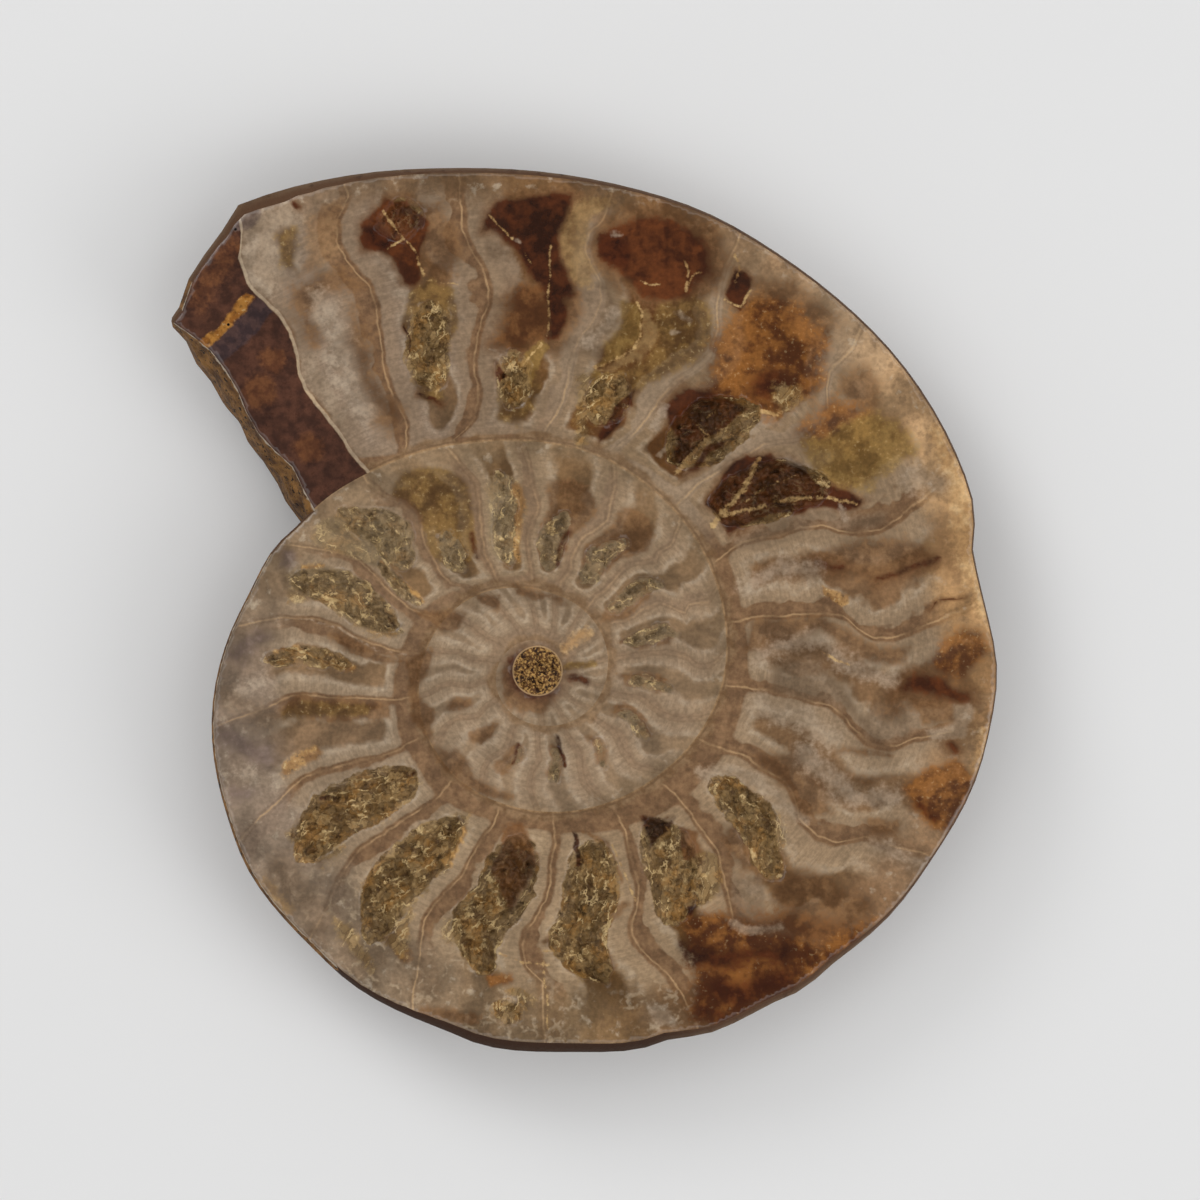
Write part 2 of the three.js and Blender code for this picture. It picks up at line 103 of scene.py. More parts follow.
# Walls between the chambers, each as points (angle, radius)
SEPTA = [
    [(-560, 3.9), (-560, 2.9)], [(-530, 4.3), (-530, 3.0)], [(-500, 4.8), (-502, 3.0)],
    [(-472, 5.2), (-474, 3.2)], [(-446, 5.5), (-448, 3.3)], [(-420, 6.0), (-423, 3.4)],
    [(-396, 6.4), (-399, 3.6)], [(-373, 6.8), (-376, 3.7)], [(-350, 7.1), (-354, 3.9)],
    [(-328, 7.4), (-332, 4.0)], [(-306, 7.7), (-311, 4.1)], [(-283, 7.9), (-288, 6.0), (-291, 4.3)],
    [(-260, 8.4), (-265, 6.5), (-269, 4.4)], [(-236, 9.5), (-241, 7.0), (-245, 4.6)],
    [(-213, 10.4), (-217, 7.6), (-215, 6.0), (-220, 4.8)],
    [(-190, 11.3), (-193, 9.0), (-194, 8.0), (-191, 6.5), (-193, 4.9)],
    [(-168, 12.1), (-171, 9.8), (-171.5, 8.6), (-169, 6.8), (-171, 5.0)],
    [(-145, 12.9), (-149, 10.2), (-149, 9.0), (-144, 7.5), (-146, 5.2)],
    [(-115, 13.6), (-119, 11.2), (-118, 10.0), (-112, 8.4), (-115, 5.3)],
    [(-90, 14.0), (-94.5, 11.6), (-94, 10.2), (-88.5, 8.8), (-92, 5.6)],
    [(-63, 14.9), (-67.5, 12.3), (-67, 10.8), (-62.5, 9.2), (-66, 6.0)],
    [(-39, 16.1), (-44.5, 13.4), (-43.5, 11.6), (-38.5, 9.6), (-42, 6.4)],
    [(-15, 17.7), (-19.5, 14.9), (-19, 13.0), (-14.5, 10.4), (-18, 7.0)],
    [(6, 19.0), (2, 17.4), (2.5, 15.8), (6, 15.0), (8, 13.0), (8.5, 11.0), (9, 9.0)],
    [(25, 19.8), (22, 18.5), (24, 16.5), (21, 15.8), (25, 15.0), (29, 14.0), (30, 12.5), (30, 10.0),
        (33, 8.5)],
    [(47, 20.9), (43, 18.5), (44, 17.0), (43, 16.0), (46, 15.0), (49, 14.0), (50, 12.5), (50, 10.5),
        (52, 9.0)],
    [(70, 22.2), (67, 19.8), (66, 18.0), (65, 16.5), (68, 15.0), (72, 13.5), (73, 12.0), (73, 10.5),
        (75, 9.5)],
    [(94, 23.1), (92, 19.8), (91, 18.0), (90, 16.5), (92, 15.0), (94, 13.0), (94, 11.5), (93, 10.0)],
    [(112, 24.3), (108, 19.8), (109, 18.0), (110, 16.5), (112, 15.0), (114, 13.0), (114, 11.5)],
    [(132, 26.3), (131, 23.0), (128, 21.5), (127, 19.5), (131, 17.5), (133, 15.8), (135, 13.5), (134, 12.0),
        (130, 11.2)],
    [(154, 29.0), (150.5, 24.5), (148.5, 21.0), (149.3, 19.0), (151, 17.5), (152.5, 16.0), (154, 14.5)],
    [(172, 30.9), (168.6, 26.4), (167.3, 23.5), (167.1, 22.0), (168, 20.2), (169.6, 18.8), (170.4, 16.7),
        (171.5, 15.5), (172.5, 14.3)],
    [(190, 33.1), (187.7, 27.0), (186, 25.0), (185.8, 23.5), (186.5, 21.7), (187.7, 20.2), (188.8, 18.2),
        (190, 15.8), (191.5, 14.8)],
    [(210, 34.7), (206.5, 28.8), (204.7, 26.0), (204.4, 23.8), (205.4, 22.3), (206.5, 20.5), (207.7, 18.8),
        (209.2, 16.1)],
    [(230, 35.7), (227, 29.7), (225.6, 27.5), (225, 25.2), (225.8, 23.2), (227.3, 21.1), (228.3, 19.4),
        (230, 17.3), (231.5, 15.8)],
    [(250, 36.9), (248.3, 32.5), (247, 30.0), (246, 27.5), (246.4, 25.5), (248.3, 23.3), (250, 21.7),
        (250.8, 19.2), (252.3, 17.0), (254, 16.0)],
    [(271, 38.2), (271, 34.7), (271, 31.1), (268, 29.5), (266.7, 27.7), (267.3, 26.1), (269.5, 24.7),
        (272, 23.0), (273.5, 20.2), (274.6, 18.5), (276.5, 17.0)],
    [(294, 40.0), (294, 35.5), (293.5, 33.5), (291.9, 31.4), (290.6, 29.8), (290, 28.1), (291.2, 26.4),
        (293.5, 24.9), (295, 23.8), (296.2, 21.7), (297.7, 19.7), (299.2, 17.9)],
    [(315, 35.2), (310, 34.7), (307.5, 32.2), (309.2, 30.5), (311.5, 28.2), (313.1, 26.7), (315, 25.5),
        (315.8, 23.8), (316.5, 22.0), (317.7, 20.8)],
    [(335, 43.8), (333, 36.7), (330, 34.5), (329.3, 32.5), (330.5, 30.0), (334, 28.6), (335.8, 27.2),
        (336.2, 24.9), (337.3, 22.9)],
    [(353, 45.6), (350, 38.5), (348.3, 36.8), (347.7, 35.0), (348, 33.7), (349.6, 32.0), (351.5, 30.8),
        (353.3, 29.2), (353.9, 27.2), (354.3, 25.0), (355.3, 23.1)],
    [(369, 45.2), (366, 37.5), (365.2, 35.5), (365.8, 33.8), (367.7, 32.3), (370, 31.1), (371.5, 29.4),
        (372, 27.3), (373.1, 24.9), (374.3, 22.6)],
    [(386, 47.1), (384, 42.0), (383, 39.5), (382.6, 37.0), (383.2, 34.9), (384.7, 33.4), (387, 31.9),
        (388.6, 30.0), (389.2, 27.9), (390.8, 25.8), (392, 24.3)],
    [(407, 47.8), (406, 45.0), (405.8, 41.7), (404, 40.3), (402, 39.0), (401, 37.2), (401, 35.8),
        (402, 34.3), (403.5, 33.1), (405, 32.0), (406.2, 30.0), (407, 28.0), (408.2, 26.3), (409.7, 24.3)],
    [(425, 48.5), (425, 45.0), (424.8, 42.5), (423.8, 40.5), (422, 38.6), (421.5, 36.2), (422.6, 33.8),
        (424.6, 32.0), (425.8, 29.9), (426.3, 27.6), (427.7, 25.8), (429.6, 24.3), (431.3, 22.9)],
    [(441, 49.4), (441.8, 45.5), (443.4, 44.0), (443.7, 42.5), (442.6, 41.0), (440.8, 39.3), (440.3, 37.5),
        (441, 35.2), (442.8, 33.3), (443.7, 31.1), (444.2, 29.0), (444.7, 27.3), (445.8, 25.5),
        (447.7, 24.3), (450, 22.9)],
    [(459, 51.0), (459.3, 47.0), (459.8, 45.0), (459, 43.0), (457.8, 40.5), (457.2, 38.5), (458, 36.7),
        (459.3, 35.1), (460.8, 33.1), (461.7, 31.1), (461.6, 29.0), (462.3, 27.6), (463.8, 26.1),
        (466.2, 25.2), (470, 24.6)],
    [(471.5, 53.2), (472, 51.1), (474, 49.3), (475, 47.2), (475, 45.5), (474.4, 43.7), (473.5, 42.0),
        (473.9, 39.6), (475.4, 36.7), (477, 34.3), (477.7, 32.0), (477.5, 29.9), (478.2, 27.9), (480, 26.2),
        (482, 25.3)],
    [(483, 55.4), (484, 53.0), (486, 51.0), (487, 48.0), (486.6, 46.0), (486.2, 44.0), (486.3, 42.0),
        (487.3, 40.0), (489, 38.0), (489.8, 36.0), (490, 34.0), (490, 32.0), (490.3, 30.0), (490.8, 29.0)],
]
BODY_CHAMBER = len(SEPTA) - 1  # number of the wall behind the body chamber

# What fills the chambers of the inner turns: kind, from angle, to angle, from radius, to radius. Such a
# patch bends along with the walls of its chamber.
PATCHES = [
    ("brown", 12, 20, 9.5, 14.0), ("brown", 33, 42, 8.8, 14.0), ("brown", 51, 65, 11.0, 19.0),
    ("brown", 73, 88, 10.5, 19.5), ("dark", 78, 81, 10.5, 14.5), ("druse", 96, 108, 11.0, 20.0),
    ("gold", 96, 100, 11.0, 19.0), ("olive", 112, 128, 12.5, 23.5), ("dark", 116.5, 118, 12.5, 15.5),
    ("brown", 119, 128, 17.5, 22.5), ("brown", -9, -1, 8.7, 13.0), ("brown", -29, -24, 8.5, 12.5),
    ("brown", -55, -49, 8.5, 11.5), ("brown", -82, -74, 7.5, 11.0), ("brown", -112, -102, 7.5, 11.0),
    ("brown", -136, -126, 7.2, 9.7), ("brown", -161, -153, 7.2, 9.7), ("olive", 188.5, 192, 17.0, 26.0),
    ("gold", 199, 202, 23.0, 27.5), ("druse", 136, 149, 18.0, 26.0), ("druse", 303, 313, 24.0, 29.0),
]

# Hollows that the crystals left open, as in the CAD: chamber, middle, half width, from height, to height,
# depth
HOLLOWS = [
    (18, 0.42, 0.13, 0.28, 0.62, 0.8), (19, 0.45, 0.15, 0.24, 0.68, 1.0), (20, 0.53, 0.11, 0.3, 0.62, 0.8),
    (21, 0.5, 0.15, 0.22, 0.65, 1.0), (22, 0.4, 0.15, 0.18, 0.6, 1.0), (23, 0.42, 0.18, 0.14, 0.62, 1.2),
    (24, 0.47, 0.2, 0.12, 0.62, 1.2), (25, 0.5, 0.24, 0.14, 0.6, 1.0), (26, 0.55, 0.24, 0.13, 0.56, 1.6),
    (27, 0.55, 0.2, 0.16, 0.8, 1.2), (28, 0.62, 0.2, 0.16, 0.46, 1.2), (29, 0.45, 0.28, 0.36, 0.9, 1.5),
    (29, 0.83, 0.09, 0.14, 0.52, 1.8), (30, 0.48, 0.3, 0.2, 0.84, 1.5), (31, 0.47, 0.14, 0.34, 0.8, 1.2),
    (33, 0.52, 0.32, 0.12, 0.8, 1.6), (34, 0.5, 0.3, 0.14, 0.82, 1.6), (35, 0.52, 0.32, 0.1, 0.72, 1.9),
    (35, 0.72, 0.2, 0.78, 0.9, 0.9), (36, 0.5, 0.3, 0.12, 0.72, 1.5), (37, 0.45, 0.3, 0.12, 0.56, 1.4),
    (38, 0.52, 0.2, 0.14, 0.6, 1.5), (42, 0.52, 0.32, 0.1, 0.54, 2.1), (43, 0.42, 0.3, 0.12, 0.5, 2.1),
    (44, 0.5, 0.2, 0.1, 0.32, 1.2), (45, 0.6, 0.16, 0.12, 0.34, 1.1), (46, 0.52, 0.22, 0.2, 0.52, 1.3),
    (46, 0.5, 0.22, 0.74, 0.9, 0.9),
]
CORE_PIT_RADIUS = 2.5
CORE_PIT_DEPTH = 0.9
CRYSTAL_SIZES = (1.1, 0.6)
CRYSTAL_SLOPE = 1.7
THIRD_TURN = 2.094  # in radians
HOLLOW_WALL = 0.45  # how far in from its edge a hollow gets two thirds of its depth
FACE_REACH = 56  # no point of the face is farther than this from the middle of the coil
COARSE_GAP = 0.22  # smallest gap between a coarse point and the outline or the coil's wall
FINE_GAP = 0.07
WALL_STEP = 0.45  # spacing of the mesh points along the coil's wall
COARSE = 0.4  # spacing of the points on the flat face
FINE = 0.175  # spacing of the points in a hollow
HOLLOW_MARGIN = 0.35  # how far the fine points reach past a hollow's edge
VEIN_MARGIN = 2.5  # the same for a vein, in units of its softness
VEIN_SHARE = 0.6  # of the half widths that the veins have in the table below
SPIRAL_STOP = 2.5  # how far before the break the coil's wall stops being an edge of the mesh
MARK_LIMIT = 4.0  # how far from its edge a mark is told apart, in units of its softness
PATCH_SOFT = 0.3  # softness of a patch's edge
PATCH_LIMIT = 3.0  # how far from its edge a patch or a hollow is told apart
WAVER = {"vein": 0.16}  # how far the edges of a kind of mark waver, where it isn't OTHER_WAVER
OTHER_WAVER = 0.45
WAVER_SIZES = ((2.2, 1.0), (0.8, 0.4))  # width of the waves, and their share
HOLLOW_TAPER = 0.45  # a smaller power makes a hollow's ends blunter
PEAK_RISE = (0.45, 0.8)  # height of a crystal over its width: the least, and how much more at most
CRYSTAL_TOP = 0.8  # share of a hollow's depth that crystals reach up
GRID_X = (-40, 50)
GRID_Y = (-42, 54)
ROW_GAP = 0.866  # of a grid of equal-sided triangles
GRID_SHAKE = 0.18
TURNS_BACK = 3 * 360
NOISE_WAVES = (127.1, 311.7, 74.7)
NOISE_SPREAD = 43758.5453
RIB_BOW = 0.35  # how far the ribs bow, as a share of their sweep
BREAK_LIMITS = (-4, 0.4, -20)  # stand-off from the break's line, least outward turn, largest x
SHARP_EDGE = 40  # degrees
CUT_FACE, SHELL, BROKEN = 0, 1, 2  # material numbers
FRAME_WIDTH = 120.0  # width of the camera's frame at the cut face
CAMERA_DISTANCE = 1200.0
FLOOR_REACH = 3.0  # in metres
CAMERA_PLACE = (1.6, 1.0)
SKY_LOW = 0.5
SKY_RING = 1.78
SKY_TOP = 0.03
RING_EDGE = (0.7, 0.85)  # how steeply one looks up where the sky's bright ring begins
PATCH_EDGE = (0.96, 0.992)  # the same for the dark patch inside the ring
KEY_POWER = 2.5
FILL_POWER = 2.0

# Marks on the cut face by kind, placed in millimetres to the right of and below the upper left corner of the
# camera's frame.
FRAME_CORNER = (-58.4, 61.0)  # that corner in the part's x and y
# Patches: softness of the edge, corners
AREAS = {
    "amber": [
        (0.9, [(71.8, 33.5), (73.4, 30.8), (76.2, 29.4), (80, 31), (83, 34), (82.4, 37.5), (80.8, 40.2),
            (76.4, 41.8), (72, 41.2), (69.4, 41), (70.6, 37.9)]),
        (1.1, [(83, 40), (85.4, 40.4), (88, 42.4), (86.4, 45.6), (82, 45.4), (80, 43.4)]),
        (0.7, [(96.1, 62.8), (98.1, 63.3), (99.2, 65.1), (96.6, 67.9), (94.1, 67.7), (92.8, 66.4),
            (94.8, 63.9)]),
        (0.45, [(90.2, 79.2), (92.8, 76.6), (96.1, 76.4), (97.9, 77.9), (95.3, 83), (93.6, 82.7),
            (91.5, 81.2)]),
        (0.6, [(68.6, 92.3), (71.9, 91.3), (75.2, 92.9), (79.8, 93.9), (83.2, 95.9), (81.2, 98.6),
            (75.5, 100.9), (71.2, 102.9), (69.2, 101.9), (69.9, 96.2)]),
        (0.8, [(82.8, 93.9), (87.1, 91.9), (86.5, 94.6), (81.2, 97.9), (79.8, 98.6)]),
        (0.4, [(35.4, 79.3), (40, 79.5), (38.9, 81.4), (36.1, 82)]),
    ],
    "brown": [
        (0.9, [(41.4, 20.6), (44.4, 20.2), (45.8, 24), (45.2, 28.4), (42.6, 29.6)]),
        (0.8, [(50.4, 18.9), (58.2, 18.9), (58.4, 22), (57.4, 26.5), (58, 31), (56.2, 35), (52, 35.8),
            (49.4, 34.6), (51, 30), (53, 28)]),
        (0.9, [(59.4, 23), (62.6, 20.2), (67, 20.3), (71.6, 22.4), (73, 26), (71.6, 29.6), (68, 31),
            (62.6, 29.6), (59.6, 27)]),
        (0.9, [(28.6, 28.6), (31.5, 27.6), (34.4, 26.4), (36.6, 28.6), (33, 29.6), (31.5, 31.8),
            (29.1, 31.5)]),
        (1.2, [(35.2, 30.5), (37, 33), (37.6, 38), (39.6, 41), (39.4, 43.4), (37.4, 42.6), (36, 38),
            (34.8, 34)]),
        (0.9, [(75, 28.2), (78.7, 27.9), (83.9, 31.9), (82.4, 34.4), (78.9, 31.9), (75.7, 30.2)]),
        (0.8, [(84.2, 37.4), (86.6, 36.4), (88.2, 38), (87.6, 40.6), (85.2, 41), (83.9, 39.4)]),
        (0.8, [(81.3, 56.2), (83.9, 54.2), (89, 53.4), (92.8, 54.4), (93.8, 55.7), (90.2, 57.5),
            (88.4, 58.8), (85.9, 58), (82.3, 56.7)]),
        (0.5, [(74.4, 64.9), (75.4, 62.3), (77, 61.8), (82.3, 61.7), (85.1, 62.8), (88.2, 64.9),
            (91.5, 64.4), (90.2, 66.4), (86.4, 66.2), (82.3, 63.3), (77.5, 65.1)]),
        (0.4, [(90.5, 70), (95.3, 70.2), (95.6, 72.3), (92.5, 72.8)]),
        (0.6, [(75.4, 75.6), (79.3, 74.8), (82.3, 77.9), (83.4, 81.2), (80.3, 81.7), (78.8, 78.4),
            (76.2, 76.6)]),
        (0.7, [(73.6, 81.6), (75.6, 84), (76.8, 87.2), (74, 87.4), (72.2, 84)]),
        (0.5, [(86.4, 82), (90.5, 82.2), (90, 83.5), (87.2, 83.5)]),
        (0.9, [(76.9, 87.6), (81.2, 86.9), (84.5, 88.5), (87.1, 90.6), (84.5, 93.3), (81.2, 93.9),
            (77.9, 92.3)]),
        (0.25, [(32.6, 63.5), (34.3, 63.5), (38.9, 65.5), (39.9, 65.9), (37.9, 66.4), (34.5, 65)]),
        (0.3, [(28, 71), (29.7, 69.6), (38.9, 70.3), (38.9, 71.5), (33.3, 72.2), (30.4, 71.5)]),
        (0.3, [(41.1, 60.8), (46.2, 61.6), (45.7, 62.8), (43.8, 63)]),
        (0.3, [(40.1, 65.9), (43, 65), (43.3, 66.9), (41.8, 69.1), (43.3, 71.3), (43, 74.2), (41.3, 72.2),
            (41.3, 69.8)]),
        (0.35, [(43.3, 74.7), (45.7, 74.7), (47.4, 77.6), (51.5, 79.3), (50.3, 79.8), (46.7, 79),
            (44.2, 77.1)]),
        (0.3, [(44.2, 61.2), (46.3, 61.2), (45.9, 62.7), (44, 63.1)]),
        (0.3, [(47.1, 59.6), (50.1, 59.4), (49.6, 60.8), (47.7, 60.6)]),
        (0.3, [(51.7, 58.7), (56.5, 59.6), (56.8, 60.4), (54.5, 59.6), (51.9, 59.8)]),
    ],
    "cream": [
        (0.6, [(24.5, 23), (26.4, 21.1), (29.1, 20.4), (30.5, 22.1), (27.6, 23.3), (27.9, 26.4),
            (29.6, 27.6), (26.2, 29.6), (24.5, 26.9)]),
        (0.25, [(69.5, 45.1), (73, 42.6), (75.7, 41.3), (77.7, 41.4), (75.7, 43.1), (73.2, 44.1),
            (68, 47.3)]),
        (0.35, [(95.3, 70.2), (97.1, 70.7), (97.4, 71.5), (96.1, 74.1), (93, 74.3), (92.5, 73.3),
            (95.3, 72.5)]),
    ],
    "dark": [
        (0.4, [(36.6, 22.6), (38, 22.6), (40.2, 24.4), (38.8, 25.4), (36.9, 24.4)]),
        (0.35, [(49.4, 20.6), (50.7, 19.7), (54.2, 19.4), (57.2, 19.6), (56.5, 21), (56, 24), (56.3, 26.3),
            (57.1, 28.4), (57.2, 29.4), (56.5, 30.5), (56.5, 32.3), (55.7, 33.6), (54.6, 34.2),
            (54.6, 32.3), (54.9, 29.4), (54, 28.4), (53, 27.5), (51.3, 25.2), (50.5, 24), (49.4, 22.9),
            (48.2, 23), (48.9, 21.5)]),
        (0.15, [(49.4, 36.5), (50.9, 37.4), (49.7, 38.3)]),
        (0.4, [(60, 23.6), (61.8, 23), (62.9, 24.6), (62.6, 27), (61.4, 26.9), (60.2, 26)]),
        (0.2, [(59.9, 42.8), (63.6, 39), (63.4, 40.7), (61.5, 42.8), (60.1, 44.1)]),
        (0.2, [(72.7, 29.2), (73.5, 27.4), (75, 27.9), (75, 29.9), (74.2, 30.9)]),
        (0.35, [(66.5, 40.9), (68.7, 38.6), (72.2, 39.4), (74.5, 40.9), (73, 42.4), (70, 45.1),
            (67.7, 46.9), (67.5, 43.9), (66.5, 42.9)]),
        (0.22, [(70.2, 50.1), (73, 46.9), (75.7, 45.6), (79.9, 46.4), (80.9, 48.1), (84.9, 49.1),
            (86.9, 49.6), (85.6, 50.6), (79.9, 51.1), (76.2, 51.8), (73, 53.3), (72.5, 52.6)]),
        (0.25, [(64.3, 81.6), (67.2, 81.6), (66.6, 83), (64.9, 84.6)]),
        (0.25, [(68.6, 87.6), (70.9, 87.3), (70.6, 89.9), (69.2, 91.3), (68.2, 89.6)]),
    ],
    "druse": [
        (0.5, [(77.2, 38.4), (79.2, 38.6), (80.6, 40.4), (78.6, 41), (77.4, 40)]),
        (0.4, [(71.4, 79.2), (72.6, 78.1), (74.7, 78.9), (77.7, 81.2), (78.8, 84.3), (77.2, 85.8),
            (74.4, 81.7), (72.1, 79.9)]),
        (0.4, [(28.9, 83.4), (31.5, 80.8), (33.3, 79.5), (37.2, 78), (40.9, 76.9), (41.8, 78.2), (40, 79.5),
            (38.9, 81.4), (36.1, 82.5), (35, 82.9), (33.7, 85.1), (32.2, 86.8), (31.1, 86.4), (30.7, 84.7),
            (29.2, 84.5)]),
        (0.35, [(45.8, 81.2), (47.3, 81.6), (46.9, 83.4), (45, 86.8), (41.5, 89.9), (40.9, 91.6),
            (40.4, 95.9), (38.5, 94.6), (38, 92), (37.2, 90.3), (35.9, 88.6), (38.5, 86), (42.8, 83.2)]),
        (0.5, [(44.3, 91.6), (47.4, 89.9), (48, 92.5), (45.9, 94.6), (44.1, 93.8)]),
        (0.5, [(33.3, 91.2), (35.4, 92.5), (37.2, 97.2), (35, 95.5), (33.7, 93.8)]),
        (0.35, [(28.5, 57.7), (29.9, 56.5), (32.6, 56.5), (34.5, 57.7), (37, 59.6), (37.9, 61.3),
            (40.1, 62.5), (39.9, 63.3), (37, 63.3), (34.5, 61.6), (32.1, 59.9), (29, 59.9)]),
    ],
    "gold": [
        (0.15, [(82.3, 58.5), (84.9, 59.3), (85.1, 60), (84.4, 60.3), (82.5, 59.4)]),
    ],
    "lavender": [
        (0.5, [(48.4, 23.4), (50.2, 24.4), (52.4, 27.6), (53.8, 29), (52, 30), (50, 27.4), (48.6, 25.4)]),
        (0.4, [(58.4, 28.2), (60.5, 28.2), (61.5, 30.3), (61.6, 32.8), (60.3, 35.7), (57.4, 35.3),
            (55.7, 33.8), (56.5, 32.3), (56.9, 30.3)]),
        (0.6, [(77.2, 66.4), (81.8, 65.9), (83.9, 67.9), (85.9, 71), (81.8, 70), (77.5, 69)]),
        (0.5, [(85.9, 71.5), (88.4, 70.2), (91.5, 71), (92, 73), (90, 74.3), (87.4, 74.3)]),
        (0.4, [(72.9, 87.6), (76.2, 87.6), (76.9, 91.3), (75.5, 92.3), (73.2, 91.9)]),
    ],
    "light": [
        (0.4, [(64.6, 100.2), (66.6, 100.9), (67.9, 102.9), (65.6, 102.5)]),
    ],
    "olive": [
        (0.5, [(27.6, 23), (29.3, 23), (29.6, 24), (29.3, 26.7), (28.1, 26.7), (27.9, 24.7)]),
        (0.35, [(41, 29.6), (42.9, 28.1), (45.6, 29.1), (45.6, 33), (44.8, 36.6), (44.1, 40.2),
            (42.2, 40.2), (41.2, 37.8), (40.5, 33)]),
        (0.4, [(50.5, 38), (52.7, 38.4), (54, 37.4), (53.2, 40.9), (52.3, 42.4), (49.8, 42.4), (49.8, 39)]),
        (0.5, [(65.9, 30.2), (69.7, 29.4), (71.6, 31.3), (71.8, 33.6), (69.9, 36.3), (66, 38), (61.8, 40.5),
            (60.9, 40.9), (61.3, 37.4), (64.1, 36.3), (65.9, 34.2)]),
        (0.35, [(58.6, 84.6), (60.3, 84.6), (61.9, 88.9), (60.6, 91.3), (59.3, 96.6), (58.3, 98.6),
            (57, 96.6), (58.3, 93.3), (58.6, 88.9)]),
    ],
    "peach": [
        (0.6, [(30.5, 22.3), (33.9, 19.6), (33.9, 24), (33.5, 25.7), (30.1, 27.6), (31, 25.2)]),
    ],
    "red": [
        (0.25, [(36.4, 22.1), (37.1, 21), (38.5, 20), (41, 19.6), (42.7, 21.8), (42.4, 24.2), (41.7, 28.6),
            (40.2, 28.4), (39.3, 25.9), (36.6, 24.7)]),
        (0.5, [(60.1, 24.6), (61.3, 22.7), (63.7, 21.4), (66, 21.5), (68, 22.3), (70.4, 24), (71.2, 25.6),
            (70.6, 27.5), (68.9, 29.4), (65.7, 29.8), (64.1, 29.2), (62.2, 27.9), (60.3, 26.3)]),
        (0.8, [(75.6, 37.6), (77.6, 36.8), (79.6, 38.6), (77.4, 40), (75, 39.8)]),
        (0.25, [(68, 47.5), (71.2, 44.6), (73.2, 43.9), (72.5, 44.9), (70, 46.6)]),
        (0.5, [(89.7, 69), (91, 67.9), (94.1, 68.2), (96.6, 69.2), (96.9, 70.2), (95.3, 70), (91.5, 69.5)]),
    ],
    "rust": [
        (1.2, [(69.4, 91.6), (76, 90.8), (82, 91.8), (87, 92.2), (84.6, 96), (79, 99.6), (73, 102.4),
            (69.4, 101.6), (68.8, 96)]),
        (0.7, [(52.4, 28.6), (54.8, 28.8), (54.9, 32.3), (54.4, 34.2), (51.7, 35.1), (49.8, 34.2),
            (50.6, 32), (51.5, 30.4)]),
        (0.25, [(67.6, 82.3), (69.6, 83), (70.6, 85.6), (69.9, 87), (68.2, 86)]),
        (0.4, [(50, 82.9), (51.7, 82.5), (53.9, 84.7), (53.2, 88.1), (51.9, 90.7), (51.3, 91.6),
            (49.8, 89.4), (48.7, 87.3), (49.5, 85.3)]),
    ],
    "tan": [
        (0.35, [(57.2, 20.6), (58.4, 20.2), (60.7, 19.6), (61.3, 20.2), (59.2, 21.7), (58.6, 24.6),
            (59.5, 27.5), (58.8, 28.6), (58, 28.6), (56.9, 27.5), (56.2, 24.6), (56.5, 22.3)]),
        (0.3, [(64.5, 30.2), (65.9, 32.5), (65.7, 34.4), (63.7, 36.3), (61.5, 37.2), (59.2, 36.9),
            (62.6, 35.9), (64.1, 33.8), (64.3, 31.9)]),
        (0.35, [(65.2, 84.6), (67.6, 84.6), (68.2, 88), (67.9, 90.6), (65.9, 90.6), (65.6, 87.6)]),
    ],
    "yellow": [
        (0.25, [(52.3, 35.5), (54.2, 34.4), (55, 34.6), (54.4, 37), (52.7, 38.4), (50.5, 38)]),
        (0.3, [(61.8, 30.2), (63.7, 30.2), (64.3, 31.9), (63.7, 34.2), (62.2, 35.9), (59.5, 36.3),
            (61.3, 34.2), (62, 32.5)]),
        (0.25, [(58.8, 37), (61.5, 37.4), (60.9, 41.1), (59.7, 42.2), (59.2, 39.9)]),
        (0.6, [(80.9, 47.6), (80.4, 43.9), (83.9, 43.1), (87.4, 40.9), (89.9, 41.9), (91.9, 45.1),
            (89.9, 46.9), (87.4, 48.8), (84.9, 48.8)]),
    ],
}
